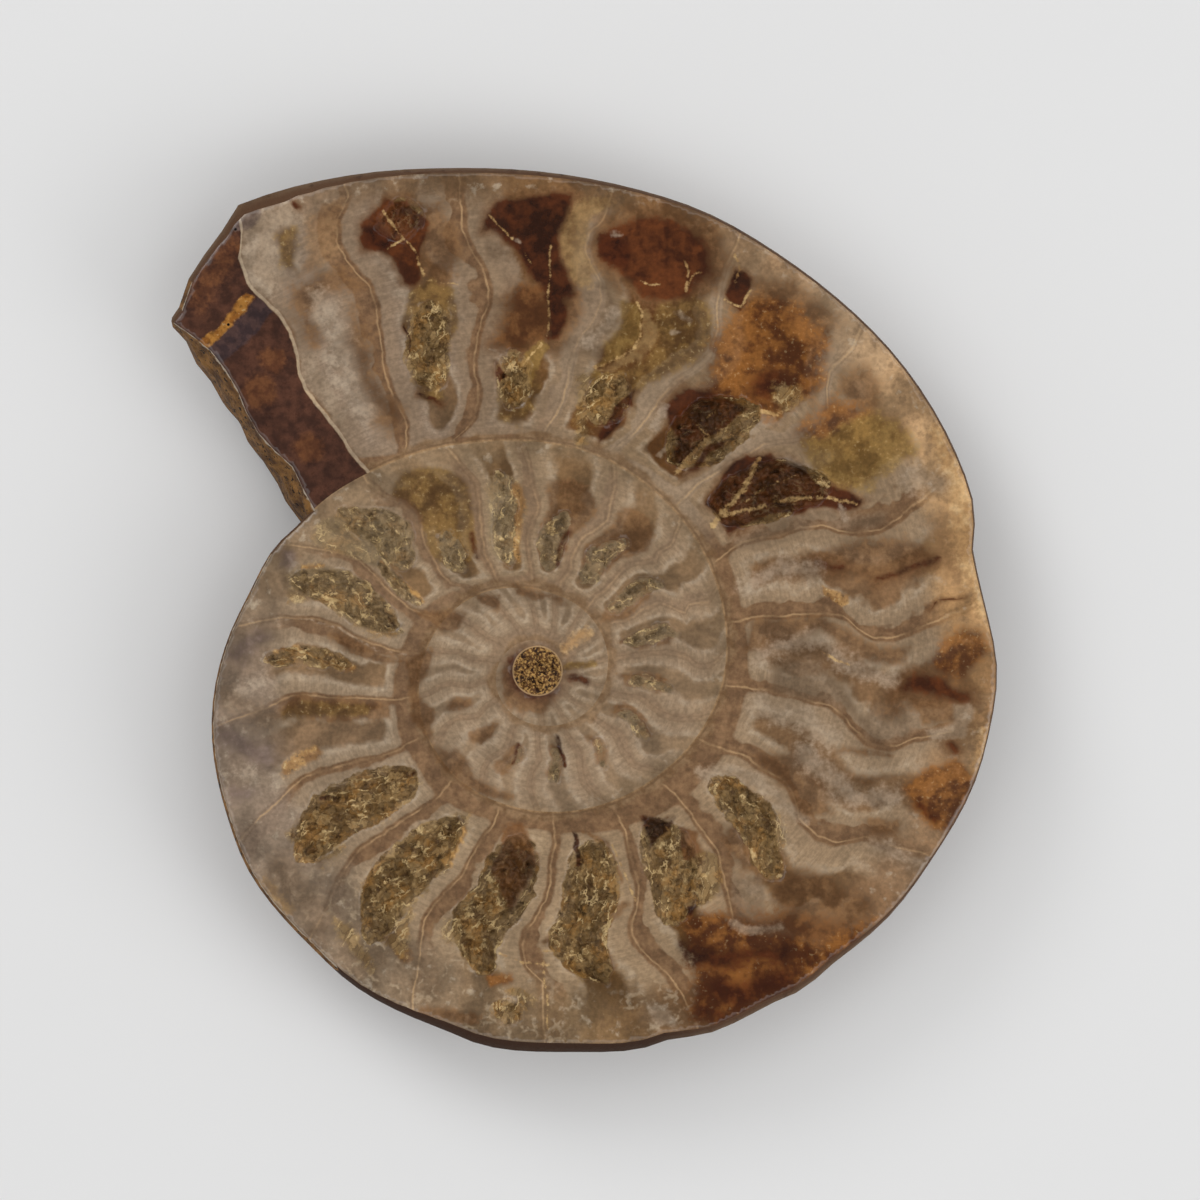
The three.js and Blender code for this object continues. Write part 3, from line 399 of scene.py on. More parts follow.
# Streaks and spots: softness of the edge, half width, points
STROKES = {
    "amber": [
        (0.8, 0.8, [(69.2, 91.9), (72.5, 93), (75.5, 94.4)]),
        (0.4, 0.6, [(49.3, 97.7), (50.8, 97.7)]),
    ],
    "blotch": [
        (0.4, 1.3, [(27.1, 35.9), (27.2, 36)]),
        (0.5, 1.5, [(25.7, 39), (25.8, 39.1)]),
        (0.4, 1.5, [(31, 44.8), (31.1, 44.9)]),
        (1.2, 0.9, [(19.6, 30), (23.6, 25)]),
    ],
    "brown": [
        (1, 0.8, [(30.2, 31.4), (31.2, 34)]),
        (0.9, 1, [(90, 68.6), (89.4, 71)]),
        (0.4, 0.3, [(84.1, 75.3), (89, 75.6)]),
        (0.4, 0.25, [(84.6, 77.4), (89.6, 78)]),
        (0.2, 0.2, [(58, 83), (60.6, 84), (61.9, 88)]),
        (0.25, 0.4, [(60.9, 91.9), (62.4, 90.1)]),
        (0.25, 0.4, [(54.8, 94.4), (56.6, 92.9)]),
        (0.25, 0.3, [(60.4, 93.9), (61.3, 96.6)]),
        (0.7, 1.4, [(78.6, 89.4), (80.4, 91), (83, 91.4)]),
        (0.4, 0.7, [(38.3, 93.3), (40.4, 95.5)]),
        (0.35, 0.6, [(42.4, 101.2), (47.6, 101.8)]),
        (0.25, 0.35, [(60.3, 61.7), (63, 61), (64.9, 59.4)]),
        (0.25, 0.35, [(62.2, 64.2), (65.6, 63.1)]),
        (0.25, 0.3, [(61.8, 67.5), (66.6, 68.1)]),
        (0.25, 0.35, [(61.6, 70.7), (63.7, 71.5), (64.9, 73)]),
        (0.25, 0.35, [(59.3, 73.6), (60.7, 75.1)]),
        (0.25, 0.35, [(49.6, 72.5), (48, 74)]),
        (0.5, 0.9, [(50.9, 67.5), (51.5, 70), (54.5, 70.2)]),
    ],
    "butter": [
        (0.8, 1, [(93.6, 43.6), (96.1, 49.3), (97.3, 54.3)]),
        (1, 0.8, [(96.2, 53), (97, 57.4)]),
        (0.7, 0.7, [(97.2, 55.8), (98.9, 62)]),
        (0.8, 0.6, [(98.7, 73.6), (97.6, 77.9)]),
        (0.3, 0.4, [(56.2, 64.8), (58.9, 63.5)]),
    ],
    "cream": [
        (0.6, 0.8, [(31, 35.5), (32, 38), (34, 42)]),
        (0.2, 0.25, [(66.2, 45.6), (68, 43.9)]),
        (0.8, 1.1, [(76, 71), (80, 71.6), (83, 74)]),
        (0.5, 0.6, [(70, 77.4), (73.6, 77), (77.4, 79), (80.2, 82)]),
    ],
    "dark": [
        (0.2, 0.3, [(29.6, 20.6), (29.9, 20.8)]),
        (0.1, 0.12, [(40.7, 32.7), (40.5, 35.4)]),
        (0.15, 0.2, [(41.7, 39.3), (43.9, 40.5)]),
        (0.35, 0.2, [(87.7, 58.2), (90.2, 57.5), (93.8, 55.6)]),
        (0.35, 0.15, [(81.5, 56.4), (84, 57)]),
        (0.1, 0.07, [(93, 61.2), (94.6, 60), (96.6, 59.6)]),
        (0.2, 0.3, [(74.6, 80.8), (75.6, 81.6)]),
        (0.15, 0.3, [(57.6, 83.3), (57.6, 86.3)]),
        (0.8, 0.8, [(68.6, 94.9), (71.2, 96.3), (75.5, 95.7), (78.5, 95.2)]),
        (0.12, 0.25, [(32, 79.9), (33.9, 80.1)]),
        (0.15, 0.3, [(33.7, 81.6), (35, 82.5)]),
        (0.2, 0.35, [(29.6, 83.8), (30.9, 84)]),
        (0.15, 0.22, [(38.5, 78.6), (41.5, 77.3)]),
        (0.1, 0.15, [(37.4, 90.3), (39.3, 88.4), (42.6, 87.1), (44.5, 84.2)]),
        (0.1, 0.14, [(39.5, 57.9), (39.6, 58)]),
        (0.1, 0.14, [(41, 59), (41.1, 59.1)]),
        (0.15, 0.2, [(30.4, 59.4), (32.8, 58.4)]),
        (0.12, 0.15, [(33.8, 60.4), (36.4, 61.8)]),
        (0.12, 0.15, [(39, 61.6), (40, 62.8)]),
        (0.15, 0.12, [(28.4, 65.2), (30.4, 65.2), (33, 66.4), (35, 66.8)]),
        (0.2, 0.25, [(55.5, 73.6), (56.3, 76.7)]),
        (0.2, 0.15, [(52.2, 74.4), (51.5, 76.1)]),
    ],
    "druse": [
        (0.4, 0.6, [(58.2, 38), (58.4, 40.9), (58.2, 44.3)]),
        (0.4, 1.3, [(51.7, 100.1), (51.8, 100.2)]),
    ],
    "gold": [
        (0.3, 0.3, [(45.2, 86), (46.7, 83.2)]),
        (0.2, 0.26, [(37.7, 56.5), (40.1, 58.4), (42.3, 59.9)]),
        (0.25, 0.2, [(29.9, 56.7), (32.6, 56.7)]),
        (0.25, 0.25, [(35.5, 59.6), (37.7, 61.6)]),
        (0.25, 0.25, [(27.8, 65.5), (29.7, 65), (32.1, 65.9), (35.5, 67.1)]),
    ],
    "lavender": [
        (0.5, 0.7, [(74.4, 54.1), (77.5, 52.8), (81.3, 51.6), (84.4, 52.1), (88, 52)]),
        (1, 1.2, [(23, 70), (27, 72)]),
        (1, 1.5, [(28, 87), (32, 92)]),
        (0.3, 0.3, [(44.6, 70.7), (47.1, 70.5)]),
    ],
    "light": [
        (0.8, 1, [(32, 29.8), (33.9, 33), (34.4, 37.3), (36.1, 41.4)]),
        (0.4, 0.6, [(25, 23.5), (24.8, 26.5), (26.5, 29.3)]),
        (0.5, 0.6, [(59.2, 34.3), (60.2, 33), (60.9, 31.3)]),
        (0.2, 0.2, [(51.6, 24.2), (52, 24.4)]),
        (0.15, 0.12, [(49.2, 35), (51.6, 35.8), (49.8, 35.6), (50.8, 37)]),
        (0.25, 0.25, [(61.5, 23.4), (62.2, 23.3)]),
        (0.25, 0.2, [(67.4, 33.6), (68, 33.5)]),
        (0.25, 0.2, [(68, 31.2), (68.8, 31.6)]),
        (0.3, 0.4, [(65.4, 42.4), (66.6, 40.8)]),
        (0.3, 0.3, [(78.9, 46.1), (80.7, 47.3)]),
        (0.25, 0.25, [(83.8, 50.4), (84.2, 51.6)]),
        (0.9, 1.2, [(91.1, 48.1), (93.6, 48.6)]),
        (0.8, 0.8, [(74.9, 58.5), (78.2, 56.7), (81.3, 57.2)]),
        (0.8, 0.7, [(76, 65.6), (81.8, 63.9), (83.9, 65.6), (86.4, 67.2), (89, 67.7)]),
        (0.8, 1, [(80.3, 75.3), (83.4, 77.9), (84.9, 79.9), (89, 79.7)]),
        (0.3, 0.35, [(73.3, 92), (74.5, 92.9), (77.9, 92.6)]),
        (0.7, 0.6, [(87.4, 84.8), (92.4, 86.6)]),
        (0.3, 0.5, [(50.6, 100), (51.6, 100.4)]),
        (0.12, 0.18, [(25.7, 86), (26.6, 85.5)]),
        (0.12, 0.1, [(28.2, 61.9), (30.7, 61.9), (34.3, 63.3), (38.7, 65), (40.1, 65.2)]),
        (0.8, 0.6, [(24, 69), (26.4, 67.6)]),
        (0.8, 0.7, [(24.6, 77), (27, 78)]),
    ],
    "ochre": [
        (0.15, 0.5, [(25.2, 29.8), (20.6, 34.4)]),
    ],
    "peach": [
        (1.2, 1.2, [(94.1, 52.4), (95.4, 57)]),
    ],
    "purple": [
        (0.9, 0.8, [(22.2, 73.7), (24.8, 74.7), (27, 75.4)]),
        (0.7, 0.6, [(23.6, 79), (25.1, 79)]),
        (0.9, 0.7, [(23.6, 65.5), (26.1, 63.5)]),
        (0.6, 0.7, [(28.2, 56), (28.7, 55.3)]),
        (0.15, 0.6, [(23.6, 22.6), (25.4, 21.6)]),
    ],
    "red": [
        (0.3, 0.3, [(91.6, 80.6), (93.4, 81.6)]),
        (0.3, 0.25, [(94.8, 74.8), (95.6, 75.4)]),
        (0.9, 1.1, [(72, 98.8), (75, 99.4), (78.5, 97.6)]),
        (0.9, 0.6, [(70.4, 101), (72, 101.6)]),
        (0.2, 0.4, [(51.1, 66), (51.2, 66.2)]),
        (0.3, 0.35, [(57.2, 67.8), (58.4, 68.2)]),
    ],
    "slate": [
        (0.2, 1.15, [(26.7, 30.6), (21.8, 35.4)]),
    ],
    "tan": [
        (0.6, 0.5, [(26.3, 88.1), (28.5, 90.7)]),
    ],
    "vein": [
        (0.1, 0.13, [(38.3, 21.1), (40.2, 23.8), (41.7, 25.5), (42.4, 28.1)]),
        (0.1, 0.07, [(40.2, 24), (38.8, 25)]),
        (0.1, 0.06, [(42.4, 28.1), (45.8, 28.4)]),
        (0.1, 0.1, [(43.8, 36.4), (44.1, 38.6), (43.7, 39.4)]),
        (0.1, 0.08, [(42.2, 33), (41.6, 35.4)]),
        (0.1, 0.13, [(63.6, 30.2), (64.2, 31.1), (64.1, 33.2), (63.4, 34.9), (62.2, 35.7), (59.2, 36.7)]),
        (0.08, 0.11, [(49, 21.5), (51.3, 24)]),
        (0.08, 0.12, [(52.5, 25.4), (53.2, 26.5)]),
        (0.1, 0.07, [(55.1, 24.6), (55, 28.2), (54.7, 33.6)]),
        (0.1, 0.07, [(61.4, 37.6), (61.2, 40), (60, 42)]),
        (0.1, 0.08, [(50.2, 38.1), (52, 36.8), (54.2, 34.5)]),
        (0.1, 0.13, [(73.5, 25.6), (74, 26.6), (73.6, 28.3)]),
        (0.1, 0.16, [(68.5, 26), (69, 27), (68.7, 29), (69.3, 27.6), (70, 27.2)]),
        (0.1, 0.08, [(64.2, 28), (65, 28.3), (66, 28.3)]),
        (0.1, 0.14, [(72.5, 29.9), (74.2, 30.6), (75.1, 28.9)]),
        (0.14, 0.34, [(67.7, 47.1), (70, 44.6), (73, 42.6), (75.7, 41.2), (77.7, 41.3)]),
        (0.14, 0.34, [(75.9, 45.9), (74.5, 48.6), (72.2, 51.3), (71.2, 52.6)]),
        (0.14, 0.26, [(77.7, 50.1), (80.9, 49.8)]),
        (0.14, 0.28, [(81.7, 49.7), (85.6, 50.2)]),
        (0.14, 0.26, [(72, 51.6), (76.4, 50.6)]),
        (0.1, 0.06, [(74.5, 50.1), (76.7, 48.6), (79.4, 47.6)]),
        (0.1, 0.06, [(71.4, 44), (69.6, 42.6), (71.6, 41)]),
        (0.1, 0.07, [(82.1, 65.2), (83.6, 66), (85, 66.4)]),
        (0.12, 0.12, [(75.6, 80.8), (76.6, 82.2), (76, 84)]),
        (0.1, 0.12, [(58, 86.2), (58.6, 90), (58, 93), (56.6, 95.2), (54.4, 95.2)]),
        (0.1, 0.1, [(61.2, 84.4), (62.4, 87.4), (63.6, 90)]),
        (0.1, 0.12, [(66.4, 82.4), (67.8, 85), (68.4, 87.4), (70.6, 87.4)]),
        (0.1, 0.07, [(50, 95.4), (52.4, 96.4), (55, 96.6)]),
        (0.1, 0.07, [(54.3, 96), (54.6, 99), (54.8, 103)]),
    ],
    "yellow": [
        (0.2, 0.35, [(56.9, 66.7), (59.3, 66.7)]),
    ],
}

# Kinds of mark: darker colour, lighter colour, strength, how strong its dark specks and painted glints are
TINTS = {
    "lavender": ((102, 82, 62), (130, 108, 86), 0.65, 0),
    "purple": ((92, 76, 70), (118, 100, 92), 0.7, 0),
    "brown": ((90, 60, 34), (124, 90, 58), 0.8, 0),
    "tan": ((122, 92, 56), (150, 120, 78), 0.7, 0),
    "peach": ((130, 96, 64), (152, 118, 82), 0.6, 0),
    "cream": ((140, 120, 98), (162, 142, 119), 0.65, 0),
    "butter": ((178, 138, 92), (202, 166, 118), 0.8, 0),
    "olive": ((88, 62, 32), (126, 96, 52), 0.8, 0.25),
    "amber": ((76, 38, 14), (136, 86, 38), 0.86, 0.2),
    "yellow": ((110, 82, 40), (140, 110, 60), 0.8, 0.15),
    "rust": ((80, 46, 22), (112, 72, 38), 0.85, 0),
    "red": ((60, 26, 9), (92, 46, 18), 0.92, 0),
    "dark": ((44, 18, 7), (74, 34, 13), 0.94, 0),
    "druse": ((108, 84, 50), (168, 140, 98), 0.75, 0),
    "gold": ((132, 90, 46), (186, 142, 84), 0.75, 0.6),
    "light": ((146, 127, 106), (172, 154, 133), 0.5, 0),
    "vein": ((150, 112, 66), (200, 166, 112), 0.7, 0),
    "ochre": ((140, 88, 34), (176, 122, 54), 0.85, 0.4),
    "slate": ((54, 42, 44), (74, 56, 54), 0.8, 0),
    "blotch": ((98, 58, 34), (118, 74, 42), 0.6, 0),
}
BROAD_MARKS = (
    "lavender", "purple", "peach", "cream", "butter", "brown", "rust", "tan", "olive", "amber", "yellow",
    "red", "dark",
)
FINE_MARKS = ("gold", "light", "vein")
BODY_MARKS = ("blotch", "slate", "ochre", "purple")
# Colours along the coil: angle, colour
MIDDLE_TONES = [
    (-640, (136, 112, 86)), (-200, (136, 112, 86)), (0, (126, 102, 76)), (100, (112, 84, 54)),
    (170, (122, 96, 68)), (200, (128, 102, 76)), (250, (118, 92, 60)), (300, (100, 68, 34)),
    (330, (118, 90, 62)), (380, (122, 92, 64)), (405, (112, 78, 42)), (430, (92, 56, 25)),
    (455, (104, 74, 42)), (475, (114, 90, 66)), (511, (128, 105, 84)),
]
RIM_TONES = [
    (-640, (152, 130, 105)), (-200, (156, 134, 109)), (0, (152, 129, 104)), (100, (150, 126, 98)),
    (200, (154, 133, 109)), (260, (158, 134, 105)), (310, (156, 130, 100)), (350, (150, 127, 101)),
    (390, (148, 124, 97)), (430, (142, 117, 88)), (475, (139, 118, 98)), (511, (147, 128, 109)),
]
OUTER_TONES = [
    (-640, (138, 114, 88)), (100, (130, 107, 80)), (160, (128, 106, 82)), (185, (126, 109, 94)),
    (215, (130, 112, 95)), (250, (126, 105, 82)), (280, (122, 96, 66)), (300, (100, 64, 34)),
    (335, (134, 105, 77)), (360, (150, 114, 76)), (378, (190, 148, 100)), (410, (166, 138, 107)),
    (435, (114, 82, 50)), (460, (112, 84, 56)), (480, (134, 111, 88)), (511, (143, 124, 102)),
]
CLEAR_ZONE = (392.0, 408.0, 442.0, 458.0)  # angles where the mineral is clear and the rims are narrow
FROST_ZONE = (212.0, 232.0, 292.0, 306.0)
DARK_SHELL_ZONE = (205.0, 225.0, 285.0, 300.0)
LAST_CHAMBER = (471.0, 477.0)
UPPER_TURN = (325.0, 345.0)
DULL = 0.7  # roughness of the shell and the break
# How far the cloudy zone reaches in from the outer wall along the coil: angle, millimetres
OUTER_REACH = [(-640, 0.0), (60, 1.0), (150, 3.5), (200, 7.0), (260, 7.5), (300, 5.0), (360, 5.0), (511, 2.5)]


def curve_through(table):
    """A smooth curve through points (position, value), as a function of an array of positions."""
    xs, ys = np.array(table, float).T
    slopes = np.empty(len(xs))
    slopes[1:-1] = (ys[2:] - ys[:-2]) / (xs[2:] - xs[:-2])
    slopes[0] = (ys[1] - ys[0]) / (xs[1] - xs[0])
    slopes[-1] = (ys[-1] - ys[-2]) / (xs[-1] - xs[-2])

    def value(position):
        position = np.asarray(position, float)
        i = np.clip(np.searchsorted(xs, position) - 1, 0, len(xs) - 2)
        span = xs[i + 1] - xs[i]
        t = np.clip((position - xs[i]) / span, 0, 1)
        blend = t * t * (3 - 2 * t)
        bow = span * t * (1 - t) * (slopes[i] * (1 - t) - slopes[i + 1] * t)
        return ys[i] + (ys[i + 1] - ys[i]) * blend + bow

    return value


wall = curve_through(WALL)
flank_depth = curve_through(FLANK_DEPTH)
bottom = curve_through(BOTTOM)
outer_reach = curve_through(OUTER_REACH)


def height_in_turn(angle, radius):
    """0 at the inner wall of the turn, 1 at its outer wall."""
    inner = wall(angle - 360)
    return (radius - inner) / np.maximum(wall(angle) - inner, 0.3)


def septum_by_height(points):
    """The angle of a wall between chambers as a function of the height in the turn."""
    table = sorted((float(height_in_turn(angle, radius)), angle) for angle, radius in points)
    heights, angles = np.array(table).T
    return heights, angles


SEPTUM_CURVES = [septum_by_height(points) for points in SEPTA]


def chamber_place(angle, height):
    """Chamber number plus share of the chamber, and the spacing of the walls there in degrees."""
    lines = np.array([np.interp(height, heights, angles) for heights, angles in SEPTUM_CURVES])
    lines = np.maximum.accumulate(lines, axis=0)
    number = np.clip((lines <= angle).sum(axis=0) - 1, 0, len(lines) - 2)
    column = np.arange(len(angle))
    start = lines[number, column]
    width = np.maximum(lines[number + 1, column] - start, 1.0)
    before = np.maximum(start - lines[np.maximum(number - 1, 0), column], 1.0)
    after = np.maximum(lines[np.minimum(number + 2, len(lines) - 1), column] - lines[number + 1, column], 1.0)
    share = (angle - start) / width
    passed = np.clip(share, 0, 1)
    spacing = 0.5 * ((before + width) * (1 - passed) + (width + after) * passed)
    return number + share, spacing


def turn_angle(x, y):
    """The angle along the coil of points in its plane, the whole turns included."""
    direction = np.degrees(np.arctan2(y, x)) % 360
    radius = np.hypot(x, y)
    angle = direction - TURNS_BACK
    for _ in range(4):
        angle = np.where(wall(angle) < radius, angle + 360, angle)
    return np.maximum(np.where(angle > LAST_ANGLE, angle - 360, angle), FIRST_ANGLE)


def lattice_noise(x, y, scale, seed):
    """Smooth noise from -1 to 1, with features about `scale` millimetres wide."""
    u, v = x / scale, y / scale
    i, j = np.floor(u), np.floor(v)
    fu, fv = u - i, v - j
    fu, fv = fu * fu * (3 - 2 * fu), fv * fv * (3 - 2 * fv)

    def corner(a, b):
        across, along, by_seed = NOISE_WAVES
        value = np.sin(a * across + b * along + seed * by_seed) * NOISE_SPREAD
        return 2 * (value - np.floor(value)) - 1

    low = corner(i, j) * (1 - fu) + corner(i + 1, j) * fu
    high = corner(i, j + 1) * (1 - fu) + corner(i + 1, j + 1) * fu
    return low * (1 - fv) + high * fv


def smooth_step(low, high, value):
    t = np.clip((value - low) / (high - low), 0, 1)
    return t * t * (3 - 2 * t)


def inside_box(across, along, half_across, half_along):
    """Distance into a rounded box in millimetres, negative outside it."""
    reach = np.minimum(half_across, half_along)
    dx = np.abs(across) - half_across + reach
    dy = np.abs(along) - half_along + reach
    outside = np.hypot(np.maximum(dx, 0), np.maximum(dy, 0)) + np.minimum(np.maximum(dx, dy), 0)
    return reach - outside


class Face:
    """What the patterns on the cut face need to know at a set of points."""

    def __init__(self, x, y, angle):
        self.count = len(x)
        self.radius = np.hypot(x, y)
        self.height = height_in_turn(angle, self.radius)
        self.place, self.spacing = chamber_place(angle, self.height)
        self.pitch = np.radians(self.spacing) * self.radius
        self.tall = wall(angle) - wall(angle - 360)

    def patch(self, from_angle, to_angle, from_radius, to_radius):
        middle_angle = 0.5 * (from_angle + to_angle)
        middle_radius = 0.5 * (from_radius + to_radius)
        middle = float(height_in_turn(middle_angle, middle_radius))
        ends = [chamber_place(np.array([float(a)]), np.array([middle]))[0][0] for a in (from_angle, to_angle)]
        low = float(height_in_turn(middle_angle, from_radius))
        high = float(height_in_turn(middle_angle, to_radius))
        pitch = math.radians(to_angle - from_angle) * middle_radius / (ends[1] - ends[0])
        tall = (to_radius - from_radius) / (high - low)
        across = (self.place - 0.5 * (ends[0] + ends[1])) * pitch
        along = (self.height - 0.5 * (low + high)) * tall
        return inside_box(across, along, 0.5 * (ends[1] - ends[0]) * pitch, 0.5 * (to_radius - from_radius))

    def kind(self, name):
        found = np.full(self.count, -PATCH_LIMIT)
        for kind, *limits in PATCHES:
            if kind == name:
                found = np.maximum(found, self.patch(*limits))
        return np.clip(found, -PATCH_LIMIT, PATCH_LIMIT)

    def hollow(self):
        """Distance into the nearest open hollow, and the depth that it has."""
        found = np.full(self.count, -PATCH_LIMIT)
        depth = np.zeros(self.count)
        for chamber, middle, half, low, high, deep in HOLLOWS:
            across = (self.place - chamber - middle) * self.pitch
            along = (self.height - 0.5 * (low + high)) * self.tall
            here = np.abs(self.place - chamber - 0.5) < 0.5
            half_across = half * float(np.median(self.pitch[here]))
            half_along = 0.5 * (high - low) * float(np.median(self.tall[here]))
            taper = np.clip(1 - (along / half_along) ** 2, 0.04, 1) ** HOLLOW_TAPER
            into = inside_box(across, along, half_across * taper, half_along)
            depth = np.where(into > found, deep, depth)
            found = np.maximum(found, into)
        core = CORE_PIT_RADIUS - self.radius
        depth = np.where(core > found, CORE_PIT_DEPTH, depth)
        return np.maximum(found, core), depth


def crystal_relief(x, y, depth):
    """Height of the crystals on a hollow's floor: three-sided points that lean all ways."""
    rng = np.random.default_rng(7)
    best = np.zeros(len(x))
    for size in CRYSTAL_SIZES:
        cell_x, cell_y = np.floor(x / size), np.floor(y / size)
        for dx in (-1, 0, 1):
            for dy in (-1, 0, 1):
                cx, cy = cell_x + dx, cell_y + dy
                waves = [np.abs(np.sin(cx * a + cy * b)) for a, b in rng.uniform(10, 90, (4, 2))]
                jitter = [np.modf(wave * 4375.85)[0] for wave in waves]
                px = x - (cx + jitter[0]) * size
                py = y - (cy + jitter[1]) * size
                turns = [jitter[2] * 2.1 + k * THIRD_TURN for k in range(3)]
                sides = [px * np.cos(turn) + py * np.sin(turn) for turn in turns]
                peak = size * (PEAK_RISE[0] + PEAK_RISE[1] * jitter[3])
                best = np.maximum(best, peak - CRYSTAL_SLOPE * np.maximum.reduce(sides))
    return np.minimum(best, CRYSTAL_TOP * depth)


def split_cad(node):
    """The side and back of the CAD solid, without its cut face and hollows, and the outline of that face."""
    mesh = bmesh.new()
    mesh.from_mesh(node.data)
    bmesh.ops.remove_doubles(mesh, verts=mesh.verts, dist=1e-6)
    top = THICKNESS * MM
    flat = [f for f in mesh.faces if all(abs(v.co.z - top) < 2e-6 for v in f.verts)]
    bmesh.ops.delete(mesh, geom=flat, context="FACES_ONLY")
    largest = []
    seen = set()
    for start in mesh.faces:
        if start in seen:
            continue
        group, stack = [], [start]
        seen.add(start)
        while stack:
            face = stack.pop()
            group.append(face)
            for edge in face.edges:
                for other in edge.link_faces:
                    if other not in seen:
                        seen.add(other)
                        stack.append(other)
        if len(group) > len(largest):
            largest = group
    keep = set(largest)
    bmesh.ops.delete(mesh, geom=[f for f in mesh.faces if f not in keep], context="FACES")
    bmesh.ops.delete(mesh, geom=[e for e in mesh.edges if not e.link_faces], context="EDGES")
    bmesh.ops.delete(mesh, geom=[v for v in mesh.verts if not v.link_faces], context="VERTS")
    return mesh


def refine_side(mesh):
    """Splits the long edges of the side and back, and puts the flank's points on its true curve."""
    for limit in SIDE_EDGES:
        long_edges = [e for e in mesh.edges if e.calc_length() > limit * MM]
        bmesh.ops.subdivide_edges(mesh, edges=long_edges, cuts=1, use_grid_fill=False)
        bmesh.ops.triangulate(mesh, faces=[f for f in mesh.faces if len(f.verts) > 3])
    rim_edges = [e for e in mesh.edges if e.is_boundary and e.calc_length() > RIM_EDGE * MM]
    bmesh.ops.subdivide_edges(mesh, edges=rim_edges, cuts=1, use_grid_fill=False)
    bmesh.ops.triangulate(mesh, faces=[f for f in mesh.faces if len(f.verts) > 3])
    verts = list(mesh.verts)
    place = np.array([v.co[:] for v in verts]) / MM
    x, y = place[:, 0] - COIL[0], place[:, 1] - COIL[1]
    direction = np.degrees(np.arctan2(y, x)) % 360
    radius = np.hypot(x, y)
    angle = np.where(direction < BREAK_ANGLE, direction + 360, direction)
    outer = wall(angle)
    seam = UMBILICUS * outer
    s = (radius - seam) / (outer - seam)
    outward = np.clip((s - FLANK_PEAK) / (1 - FLANK_PEAK), 0, 1)
    shape = EDGE_SHARE + (1 - EDGE_SHARE) * (1 - outward ** 2) ** 0.8
    inward = np.clip((FLANK_PEAK - s) / FLANK_PEAK, 0, 1)
    shape = np.where(s < FLANK_PEAK, SEAM_SHARE + (1 - SEAM_SHARE) * (1 - inward ** 3) ** 0.7, shape)
    rise = smooth_step(0.3, 0.7, s) * (1 - smooth_step(FLANK_REACH[1], 1, s))
    lean = RIB_SWEEP * (np.maximum(0, s - RIM_SHARE) ** 2 - RIB_BOW * np.sin(np.pi * s))
    rib = RIB_HEIGHT * rise * (0.5 + 0.5 * np.cos(2 * np.pi * (angle - lean) / RIB_PITCH))
    true_z = np.maximum(0, THICKNESS - flank_depth(angle) * shape - rib)
    on_flank = (s > FLANK_REACH[0]) & (s < FLANK_REACH[1]) & (np.abs(true_z - place[:, 2]) < FLANK_MISS)
    for vert, z in zip([v for v, ok in zip(verts, on_flank) if ok], true_z[on_flank]):
        vert.co.z = z * MM
    return mesh


def outline_loop(mesh):
    """The boundary points of the side in order round the cut face."""
    edges = [e for e in mesh.edges if e.is_boundary]
    first = edges[0]
    loop = [first.verts[0], first.verts[1]]
    used = {first}
    while True:
        following = [e for e in loop[-1].link_edges if e.is_boundary and e not in used]
        if not following:
            break
        used.add(following[0])
        nxt = following[0].other_vert(loop[-1])
        if nxt is loop[0]:
            break
        loop.append(nxt)
    return loop


def inside_outline(points, outline):
    """Which points lie inside the closed outline."""
    ax, ay = outline.T
    bx, by = np.roll(ax, -1), np.roll(ay, -1)
    found = np.zeros(len(points), bool)
    for x0, y0, x1, y1 in zip(ax, ay, bx, by):
        if y0 == y1:
            continue
        crosses = (y0 > points[:, 1]) != (y1 > points[:, 1])
        at = x0 + (points[:, 1] - y0) / (y1 - y0) * (x1 - x0)
        found ^= crosses & (points[:, 0] < at)
    return found


def hex_grid(spacing):
    """Points of a slightly shaken hexagonal grid over the whole coil."""
    xs = np.arange(*GRID_X, spacing)
    ys = np.arange(*GRID_Y, spacing * ROW_GAP)
    x, y = np.meshgrid(xs, ys)
    x = x + 0.5 * spacing * (np.arange(len(ys)) % 2)[:, None]
    rng = np.random.default_rng(3)
    points = np.column_stack([x.ravel(), y.ravel()])
    return points + rng.uniform(-GRID_SHAKE, GRID_SHAKE, points.shape) * spacing


def gap_to_line(u, v, start, end):
    """Distance of points from a straight line between two ends."""
    along = end - start
    t = np.clip(((u - start[0]) * along[0] + (v - start[1]) * along[1]) / max(along @ along, 1e-9), 0, 1)
    return np.hypot(u - start[0] - t * along[0], v - start[1] - t * along[1])


def mark_depth(u, v, points, half_width, soft):
    """How deep points lie in a mark, in units of the softness of its edge. An area has no half width."""
    points = np.array(points, float)
    found = np.full(len(u), -MARK_LIMIT)
    reach = MARK_LIMIT * soft + (half_width or 0)
    low, high = points.min(axis=0) - reach, points.max(axis=0) + reach
    near = (u > low[0]) & (u < high[0]) & (v > low[1]) & (v < high[1])
    u, v = u[near], v[near]
    ends = np.roll(points, -1, axis=0)
    if half_width:
        gaps = [gap_to_line(u, v, a, b) for a, b in zip(points[:-1], ends[:-1])]
        depth = half_width - np.minimum.reduce(gaps)
    else:
        gap = np.minimum.reduce([gap_to_line(u, v, a, b) for a, b in zip(points, ends)])
        depth = np.where(inside_outline(np.column_stack([u, v]), points), gap, -gap)
    found[near] = depth / soft
    return found


